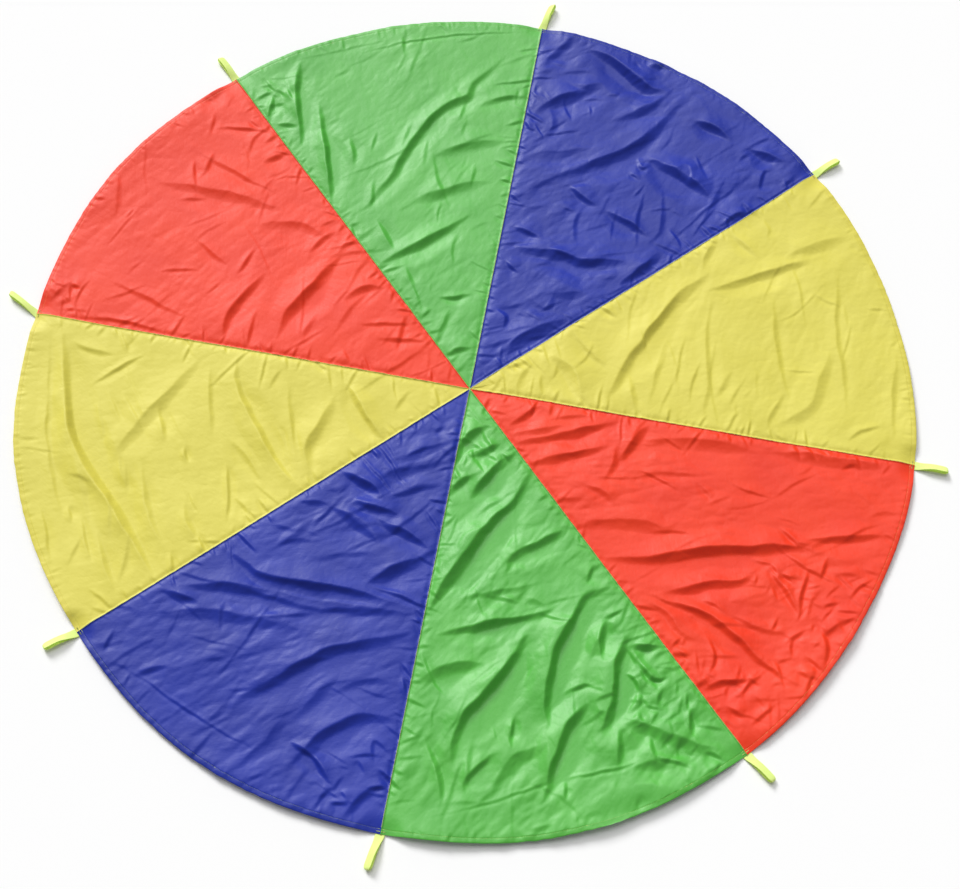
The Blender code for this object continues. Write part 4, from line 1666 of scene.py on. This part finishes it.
@dataclass
class Gore:
    """One gore of the canopy: its sheet, and its seam allowances and hem turned under."""

    number: int
    cloth: LaidCloth
    crease: Crease
    row_step: float = 2.5 * MM
    tip: float = 0.6 * MM
    under: float = 0.45 * MM
    floor_gap: float = 0.1 * MM
    # Distances of the points beside a seam from it, and of the rows over the hem from the hem's inner edge
    edge_steps: tuple[float, ...] = tuple(
        step * MM for step in (0.04, 0.7, 1.4, 2.2, 3.2, 4.6, 6.4, 8.6, 11.0)
    )
    hem_steps: tuple[float, ...] = tuple(
        step * MM for step in (4.0, 2.0, 0.8, 0.0, -0.8, -1.6, -2.4, -4.0, -6.0, -8.0, -10.0, -11.2, -11.8)
    )
    # How many points lie across the gore, up to each share of its radius
    bands: tuple[tuple[float, int], ...] = (
        (0.03, 4), (0.07, 10), (0.14, 24), (0.26, 54), (0.42, 100), (0.64, 156), (2.0, 242),
    )

    @property
    def colour(self) -> ClothColour:
        """The gore's dye."""
        return list(ClothColour)[(self.number - 1) % len(ClothColour)]

    @property
    def name(self) -> str:
        """The name of the gore's node and, with an ending, of its piece."""
        return f"gore_{self.number}_{self.colour.name.lower()}"

    @property
    def first(self) -> float:
        """The bearing of the gore's first seam."""
        return (self.number - 1) * GORE_ANGLE

    def row_radii(self) -> Points:
        """Radius of each row of points, closer together over the hem."""
        hem_edge = self.cloth.radius - self.cloth.hem
        inner = np.arange(self.tip, hem_edge - 5 * MM, self.row_step)
        return np.append(inner, [*(hem_edge - np.array(self.hem_steps)), self.cloth.radius])

    def row_bearings(self, reach: float) -> Points:
        """Bearings of one row's points from the gore's first seam.

        Args:
            reach: The row's radius.

        Returns:
            The bearings, closer together near both seams.
        """
        count = next(number for limit, number in self.bands if reach < limit * self.cloth.radius)
        chord = 2 * reach * math.sin(GORE_ANGLE / 2)
        shrink = min(1.0, 0.35 * chord / self.edge_steps[-1])
        edge = np.arcsin(np.clip(np.array(self.edge_steps) * shrink / reach, 0, 1))
        body = np.linspace(edge[-1], GORE_ANGLE - edge[-1], count + 1)[1:-1]
        return np.concatenate([edge, body, (GORE_ANGLE - edge)[::-1]])

    def zipped(self, inner: Points, outer: Points, first: int) -> Faces:
        """Triangles between two rows that have unlike numbers of points.

        Args:
            inner: Bearings of the inner row.
            outer: Bearings of the outer row.
            first: The number of the inner row's first point.

        Returns:
            The corners of each triangle.
        """
        faces, a, b = [], 0, 0
        start = first + len(inner)
        while a < len(inner) - 1 or b < len(outer) - 1:
            if b == len(outer) - 1 or (a < len(inner) - 1 and inner[a + 1] <= outer[b + 1]):
                faces.append((first + a, start + b, first + a + 1))
                a += 1
            else:
                faces.append((first + a, start + b, start + b + 1))
                b += 1
        return faces

    def build(self) -> bpy.types.Mesh:
        """Build the gore's mesh.

        Returns:
            The mesh, with its flat cut as a map.
        """
        radii = self.row_radii()
        rows = [self.row_bearings(reach) for reach in radii]
        starts = np.concatenate([[0], np.cumsum([len(row) for row in rows])])
        faces: Faces = []
        for start, inner, outer in zip(starts.tolist(), rows, rows[1:]):
            if len(inner) == len(outer):
                faces.extend(grid_faces(start, 2, len(inner)))
            else:
                faces.extend(self.zipped(inner, outer, start))
        reach = np.concatenate([np.full(len(row), radius) for row, radius in zip(rows, radii)])
        x, y = polar(reach, np.concatenate(rows) + self.first)
        strips = [*self.allowances(radii), self.turned_hem(rows[-1])]
        points, faces = joined([(self.cloth.place(x, y), faces)] + [(top, block) for top, _, block in strips])
        cut = np.vstack([np.stack([x, y], axis=1)] + [flat for _, flat, _ in strips])
        return mesh_of(self.name, points, faces, cut)

    def strip(
        self, reach: Points, bearing: Points, cut: tuple[Points, Points], sunk: Points, flipped: bool
    ) -> tuple[Points, Points, Faces]:
        """Make one strip of cloth that lies folded back beneath the sheet.

        Args:
            reach: Radii of its points.
            bearing: Their bearings.
            cut: Their places in the flat cut.
            sunk: How far they lie under the sheet.
            flipped: True if its faces look the other way.

        Returns:
            Its points, their places in the cut and its faces.
        """
        points = self.cloth.place(*polar(reach, bearing))
        points[..., 2] = np.maximum(points[..., 2] - sunk, self.floor_gap)
        faces = grid_faces(0, *points.shape[:2], flipped=flipped)
        return points.reshape(-1, 3), np.stack(cut, axis=-1).reshape(-1, 2), faces

    def allowances(self, radii: Points) -> list[tuple[Points, Points, Faces]]:
        """Make the two seam allowances.

        Args:
            radii: Radius of each row of the sheet.

        Returns:
            Points, flat cut and faces of each.
        """
        fray = GradientNoise(60 + self.number)
        kept = [reach for reach in radii if 20 * MM < reach < self.cloth.radius - 26 * MM]
        reach = np.array(kept)[:, None]
        sunk = np.array([0.0, 0.75, 1.0, 1.0, 1.0]) * self.under
        shares = np.array([0.04 * MM / self.cloth.seam_allowance, 0.08, 0.35, 0.7, 1.0])
        strips = []
        for side in (0, 1):
            width = self.cloth.seam_allowance * (1 + 0.05 * fray(reach / (20 * MM), side + 0.5))
            turn = np.arcsin(np.minimum(shares * width, 0.3 * reach) / reach)
            bearing = self.first + (turn if side == 0 else GORE_ANGLE - turn)
            mirrored = 2 * (self.first + side * GORE_ANGLE) - bearing
            strips.append(self.strip(reach, bearing, polar(reach, mirrored), sunk, side == 0))
        return strips

    def turned_hem(self, row: Points) -> tuple[Points, Points, Faces]:
        """Make the hem's inner layer.

        Args:
            row: Bearings of the sheet's last row from the first seam.

        Returns:
            Its points, flat cut and faces.
        """
        bearing = row[None, :] + self.first
        inward = np.array([0.0, 0.3, 1.5, 4.0, 7.0, 10.0, 12.0])[:, None] * MM
        sunk = np.array([0.0, 0.7, 1.0, 1.0, 1.0, 1.0, 1.0])[:, None] * self.under
        cut = polar(self.cloth.radius + inward, bearing)
        return self.strip(self.cloth.radius - inward, bearing, cut, sunk, False)

    def dress(self) -> bpy.types.Object:
        """Build the gore and put it in its place on the canopy.

        Returns:
            The gore's piece.
        """
        radius, hem, allowance = self.cloth.radius, self.cloth.hem, self.cloth.seam_allowance
        finish = self.colour.value.make(self.number, (self.number - 0.5) * GORE_ANGLE, radius - hem)
        piece = new_piece(f"{self.name}_cloth", self.build(), finish)
        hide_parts(self.name)
        f"{self.colour.name.lower()}_taffeta"
        self.crease.carry(piece, half_of_gore(self.number), half_of_gore(self.number) == NEAR_HALF)
        return piece


@dataclass
class Stitching:
    """All the sewing: each seam's zigzag, the hem's row, the bars over the handles' ends, the centre."""

    cloth: LaidCloth
    crease: Crease
    finish: bpy.types.Material
    thread: float = 0.38 * MM

    # The zigzag over a seam, and the thread beneath it. Each height is measured from the cloth
    seam_start: float = 6 * MM
    zigzag_half_width: float = 1.15 * MM
    zigzag_step: float = 1.5 * MM
    zigzag_over: float = 0.32 * MM
    bobbin_over: float = -0.75 * MM

    # The row of short stitches along the hem
    hem_inset: float = 10 * MM
    hem_thread: float = 0.18 * MM
    stitch: float = 2.3 * MM
    gap: float = 1.3 * MM
    stitch_arch: tuple[float, ...] = (-0.25 * MM, 0.08 * MM, 0.08 * MM, -0.25 * MM)
    hem_bobbin_over: float = -0.7 * MM

    # A bar: a close zigzag over half of a handle's ends, and a straight thread through it
    bar_turns: int = 18
    bar_span: tuple[float, float] = (1.4 * MM, 9.2 * MM)
    bar_half_width: float = 1.0 * MM
    bar_inset: float = 5 * MM
    bar_over: float = 0.2 * MM
    bar_core_over: float = 0.05 * MM

    # The knot that gathers the tips
    knot_threads: int = 6
    knot_half: float = 4.2 * MM
    knot_over: float = 0.55 * MM
    knot_under: float = 0.6 * MM

    def laid_tube(self, x: Points, y: Points, over: Points | float, thick: float | None = None) -> Shell:
        """Lay a thread on the cloth along a path in the cut."""
        return tube(self.cloth.place(x, y, over), thick or self.thread, 4)

    def finish_piece(
        self, name: str, node: str, threads: list[Shell], half: str, near_crease: bool
    ) -> bpy.types.Object:
        """Join threads as one piece that replaces a node.

        Args:
            name: The piece's name.
            node: The node it stands for.
            threads: Points and faces of each thread.
            half: The body it moves with.
            near_crease: True if it reaches into the crease.

        Returns:
            The piece.
        """
        piece = new_piece(name, mesh_of(name, *joined(threads)), self.finish)
        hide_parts(node)
        self.crease.carry(piece, half, near_crease)
        return piece

    def seam(self, number: int) -> bpy.types.Object:
        """Sew one seam: the zigzag over it, and the bobbin thread beneath it.

        Args:
            number: The seam's number.

        Returns:
            The piece.
        """
        stop = self.cloth.radius - self.cloth.hem - 1 * MM
        along = np.arange(self.seam_start, stop, self.zigzag_step / 2)
        swing = np.array([1, 0, -1, 0])[np.arange(len(along)) % 4] * self.zigzag_half_width
        bearing = (number - 1) * GORE_ANGLE
        zigzag = self.laid_tube(*turned(along, swing, bearing), self.zigzag_over)
        bobbin = self.laid_tube(*turned(along[::6], 0.0, bearing), self.bobbin_over)
        name = f"seam_stitching_{number}"
        half = half_of_seam(number)
        return self.finish_piece(f"{name}_zigzag", name, [zigzag, bobbin], half, half == NEAR_HALF)

    def hem(self, gore: int) -> bpy.types.Object:
        """Sew one gore's hem: a row of short stitches, over and under.

        Args:
            gore: The gore's number.

        Returns:
            The piece.
        """
        reach = self.cloth.radius - self.hem_inset
        pitch = (self.stitch + self.gap) / reach
        first, last = (gore - 1) * GORE_ANGLE, gore * GORE_ANGLE
        arch = np.array(self.stitch_arch)
        threads = []
        for start in np.arange(first, last - pitch, pitch):
            bearing = start + np.linspace(0, self.stitch / reach, len(arch))
            threads.append(self.laid_tube(*polar(reach, bearing), arch, self.hem_thread))
        threads.append(self.laid_tube(*polar(reach, np.arange(first, last, 3 * pitch)), self.hem_bobbin_over))
        name = f"hem_stitching_{gore}"
        beside_crease = gore in (HALF_COUNT + 1, GORE_COUNT)
        return self.finish_piece(f"{name}_row", name, threads, half_of_gore(gore), beside_crease)

    def bar(self, seam: int, side: str) -> bpy.types.Object:
        """Sew one bar over half of a handle's ends.

        Args:
            seam: The seam at whose end the handle is.
            side: Which side of the seam, left or right.

        Returns:
            The piece.
        """
        across = np.linspace(*self.bar_span, self.bar_turns) * (1 if side == "left" else -1)
        swing = np.where(np.arange(self.bar_turns) % 2, 1, -1) * self.bar_half_width
        reach = self.cloth.radius - self.bar_inset
        bearing = (seam - 1) * GORE_ANGLE
        close = self.laid_tube(*turned(reach + swing, across, bearing), self.bar_over)
        straight = self.laid_tube(*turned(reach, across, bearing), self.bar_core_over)
        gore = seam if side == "left" else (seam - 2) % GORE_COUNT + 1
        name = f"bar_tack_{seam}_{side}"
        near_crease = (seam, side) in ((1, "right"), (HALF_COUNT + 1, "left"))
        return self.finish_piece(f"{name}_zigzag", name, [close, straight], half_of_gore(gore), near_crease)

    def centre(self) -> bpy.types.Object:
        """Sew the knot that gathers the eight tips: threads across the centre, over and under.

        Returns:
            The piece.
        """
        share = np.linspace(-1, 1, 9)
        arch = self.knot_over - 0.5 * MM * np.abs(share) ** 4
        threads = []
        for turn in range(self.knot_threads):
            x, y = turned(share * self.knot_half, 0.0, math.pi * turn / self.knot_threads + 0.2)
            threads.append(self.laid_tube(x, y, arch))
            threads.append(self.laid_tube(x, y, -self.knot_under - 0.05 * MM * turn))
        coil = polar(np.linspace(1.0, 4.4, 60) * MM, np.linspace(0, 6 * math.pi, 60))
        threads.append(self.laid_tube(*coil, -self.knot_under))
        return self.finish_piece("centre_tack_knot", "centre_tack", threads, FAR_HALF, False)

    def dress(self) -> list[bpy.types.Object]:
        """Sew everything.

        Returns:
            The pieces.
        """
        numbers = range(1, GORE_COUNT + 1)
        made = [self.seam(number) for number in numbers] + [self.hem(gore) for gore in numbers]
        made += [self.bar(seam, side) for seam in numbers for side in ("left", "right")]
        return [*made, self.centre()]


@dataclass
class Handle:
    """One handle: a single strip of webbing, doubled, its two ends sewn in under the hem."""

    number: int
    radius: float
    finish: bpy.types.Material
    yaw_degrees: tuple[float, ...] = (-2, -3, -14, 2, -26, -5, -8, 7)
    roll_degrees: tuple[float, ...] = (-24, -22, -32, 20, 24, 30, 28, -20)
    width: float = 20 * MM
    thick: float = 1.2 * MM
    step: float = 1.3 * MM
    rib: float = 2.2 * MM
    rib_height: float = 0.12 * MM
    across: int = 19
    floor_gap: float = 0.02 * MM
    # The share of its width by which the webbing is drawn in, and over what length
    drawn_in: float = 0.18
    drawn_in_length: float = 22 * MM
    lean_length: float = 45 * MM
    sway: float = 0.8 * MM
    sway_length: float = 50 * MM
    # The rounded bight narrows from here on, over this length
    bight_start: float = 63 * MM
    bight_length: float = 11 * MM
    # The strip's middle line from the side, outward from the rim and upward from the floor, in millimetres
    route: tuple[tuple[float, float], ...] = (
        (-20, 0.7), (-8, 0.7), (2, 0.7), (20, 0.7), (45, 0.75), (62, 0.8), (68.5, 0.9), (71.8, 1.6),
        (73.4, 3.0), (73.6, 4.6), (72.4, 6.4), (69.5, 7.6), (63, 8.2), (52, 8.2), (40, 7.8), (28, 6.8),
        (18, 5.3), (10, 3.6), (4, 2.5), (0, 2.15), (-8, 2.1), (-20, 2.1),
    )

    @property
    def bearing(self) -> float:
        """The bearing of the handle's seam."""
        return (self.number - 1) * GORE_ANGLE

    def face(self, path: Points, walked: Points, side: int) -> Points:
        """Work out one woven face of the strip, leaning over on the edge that stays on the floor.

        Args:
            path: The strip's middle line from the side.
            walked: The distance along it of each point.
            side: 1 for the face outside the loop's turn, -1 for the one inside it.

        Returns:
            Rows of points across the strip: outward, sideways and upward.
        """
        way = np.gradient(path, axis=0)
        way /= np.linalg.norm(way, axis=1, keepdims=True)
        out, up = path[:, 0], path[:, 1]
        roll = math.radians(self.roll_degrees[self.number - 1]) * eased(out / self.lean_length)
        lean = math.tan(math.radians(self.yaw_degrees[self.number - 1])) * np.maximum(0.0, out)
        sway = GradientNoise(70 + self.number)(walked / self.sway_length, 0.5)
        lean = lean + self.sway * sway * eased(out / (30 * MM)) - (up - up[0]) * np.sin(roll)
        bight = np.clip((out - self.bight_start) / self.bight_length, 0, 1)
        half_width = self.width / 2 * (1 - self.drawn_in * eased(out / self.drawn_in_length))
        half_width = half_width * np.sqrt(1 - 0.72 * bight**2.2)
        # Rounded selvedges, and ribs that stand higher over each warp end
        share = np.linspace(-1, 1, self.across)
        half_thick = self.thick / 2 * (1 - 0.55 * np.abs(share) ** 14)
        rib = self.rib_height * np.abs(np.sin(math.pi * walked / self.rib))[:, None]
        warp = 0.5 + 0.5 * np.abs(np.cos(math.pi * share * 5.5))[None, :]
        rise = side * (half_thick[None, :] - self.rib_height + rib * warp)
        raised = self.width / 2 * (1 - self.drawn_in) * np.abs(np.sin(roll)) + up
        tilt = share[None, :] * (half_width * np.sin(roll))[:, None]
        return np.stack(
            [
                out[:, None] - way[:, 1][:, None] * rise,
                lean[:, None] + share[None, :] * (half_width * np.cos(roll))[:, None],
                raised[:, None] + way[:, 0][:, None] * rise + tilt,
            ],
            axis=-1,
        )

    def build(self) -> bpy.types.Mesh:
        """Build the webbing as one strip with rounded selvedges and woven ribs.

        Returns:
            The mesh, with its flat strip as a map.
        """
        path = rounded(np.array(self.route) * MM, self.step)
        walked = np.concatenate([[0.0], np.cumsum(np.linalg.norm(np.diff(path, axis=0), axis=1))])
        rings = np.concatenate([self.face(path, walked, 1), self.face(path, walked, -1)[:, ::-1]], axis=1)
        count = rings.shape[1]
        points = rings.reshape(-1, 3)
        points[:, 0], points[:, 1] = turned(points[:, 0] + self.radius, points[:, 1], self.bearing)
        points[:, 2] = np.maximum(points[:, 2], self.floor_gap)
        share = np.linspace(-1, 1, self.across)
        around = np.concatenate([share, share[::-1]]) * self.width / 2
        flat = np.stack([np.repeat(walked, count), np.tile(around, len(path))], axis=1)
        faces = ring_faces(len(path), count, flipped=True)
        return mesh_of(f"handle_{self.number}_webbing", points, faces, flat)

    def dress(self) -> bpy.types.Object:
        """Build the handle at the hem's edge.

        Returns:
            The handle's piece.
        """
        number = self.number
        piece = new_piece(f"handle_{number}_webbing", self.build(), self.finish)
        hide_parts(f"handle_loop_{number}", f"handle_tail_{number}")
        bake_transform(piece)
        return piece


# Floor, light and camera


@dataclass
class FarLight:
    """A light so far off that its rays are parallel: where it stands, its strength and how wide it looks."""

    name: str
    bearing: float
    elevation: float
    strength: float
    angle: float

    def hang(self) -> None:
        """Hang the light."""
        data = bpy.data.lights.new(self.name, "SUN")
        data.energy = self.strength
        data.angle = self.angle
        lamp = bpy.data.objects.new(self.name, data)
        bpy.context.scene.collection.objects.link(lamp)
        towards = Vector((*(math.cos(self.elevation) * heading(self.bearing)), math.sin(self.elevation)))
        lamp.rotation_mode = "QUATERNION"
        lamp.rotation_quaternion = towards.to_track_quat("Z", "Y")


@dataclass
class Studio:
    """A plain pale floor, a soft key light from the upper left, a wide soft box and an even surround."""

    lights: tuple[FarLight, ...] = (
        FarLight("key", LIGHT_BEARING, math.radians(33), 2.39, math.radians(20)),
        FarLight("soft_box", math.radians(108), math.radians(59), 1.26, math.radians(50)),
    )
    sky_strength: float = 0.23
    sky_tone: str = "#FFFFFF"
    floor_half: float = 30.0
    floor_drop: float = 0.05 * MM

    # The camera that the centre and the eight seam ends of the photograph give
    azimuth: float = math.radians(7.073)
    elevation: float = math.radians(67.144)
    distance: float = 3.5464
    focal_px: float = 1602.95
    roll: float = math.radians(3.390)
    target: tuple[float, float, float] = (0.04626, -0.12822, 0.0)

    def add_camera(self) -> None:
        """Put the camera at the photograph's angle."""
        data = bpy.data.cameras.new("camera")
        data.sensor_width = 36.0
        data.lens = self.focal_px / PHOTO_WIDTH_PX * data.sensor_width
        data.clip_end = 200.0
        camera = bpy.data.objects.new("camera", data)
        bpy.context.scene.collection.objects.link(camera)
        level = math.cos(self.elevation)
        back = Vector(
            (math.sin(self.azimuth) * level, -math.cos(self.azimuth) * level, math.sin(self.elevation))
        )
        right = Vector((math.cos(self.azimuth), math.sin(self.azimuth), 0.0))
        upward = back.cross(right)
        cosine, sine = math.cos(self.roll), math.sin(self.roll)
        axes = Matrix((cosine * right + sine * upward, cosine * upward - sine * right, back))
        place = Matrix.Translation(Vector(self.target) + back * self.distance)
        camera.matrix_world = place @ axes.transposed().to_4x4()
        bpy.context.scene.camera = camera

    def add_floor(self) -> None:
        """Lay the floor, just under the canopy's lowest points."""
        corners = [(-1, -1), (1, -1), (1, 1), (-1, 1)]
        points = np.array([(x * self.floor_half, y * self.floor_half, -self.floor_drop) for x, y in corners])
        floor = new_piece("floor", mesh_of("floor", points, [(0, 1, 2, 3)]), PaperSweep().make())

    def add_surround(self) -> None:
        """Set the even light from all sides, and the white that the camera sees past the floor."""
        world = bpy.data.worlds.new("surround")
        bpy.context.scene.world = world
        world.use_nodes = True
        tree = world.node_tree
        ground = tree.nodes["Background"]
        ground.inputs["Color"].default_value = linear(self.sky_tone)
        ground.inputs["Strength"].default_value = self.sky_strength
        seen = add_node(tree, "Background", {"Color": linear(self.sky_tone), "Strength": 1.0})
        path = add_node(tree, "LightPath")
        mix = add_node(
            tree,
            "MixShader",
            {0: path.outputs["Is Camera Ray"], 1: ground.outputs[0], 2: seen.outputs[0]},
        )
        tree.links.new(mix.outputs[0], tree.nodes["World Output"].inputs["Surface"])

    def build(self) -> None:
        """Build the whole studio."""
        self.add_camera()
        self.add_floor()
        for light in self.lights:
            light.hang()
        self.add_surround()
        bpy.context.scene.view_settings.view_transform = "Standard"


def main() -> None:
    """Build the studio, the canopy, its sewing and its handles, in that order."""
    logging.basicConfig(level=logging.INFO, format="%(name)s: %(message)s")
    Studio().build()
    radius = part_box("gore_1_yellow")[1].x
    cloth = LaidCloth(radius)
    crease = Crease()
    for number in range(1, GORE_COUNT + 1):
        piece = Gore(number, cloth, crease).dress()
        LOG.info("%s: %d faces", piece.name, len(piece.data.polygons))
    for piece in Stitching(cloth, crease, PolyesterThread().make()).dress():
        LOG.info("%s: %d faces", piece.name, len(piece.data.polygons))
    webbing = PolypropyleneWebbing().make()
    for number in range(1, GORE_COUNT + 1):
        piece = Handle(number, radius, webbing).dress()
        LOG.info("%s: %d faces", piece.name, len(piece.data.polygons))


if __name__ == "__main__":
    main()
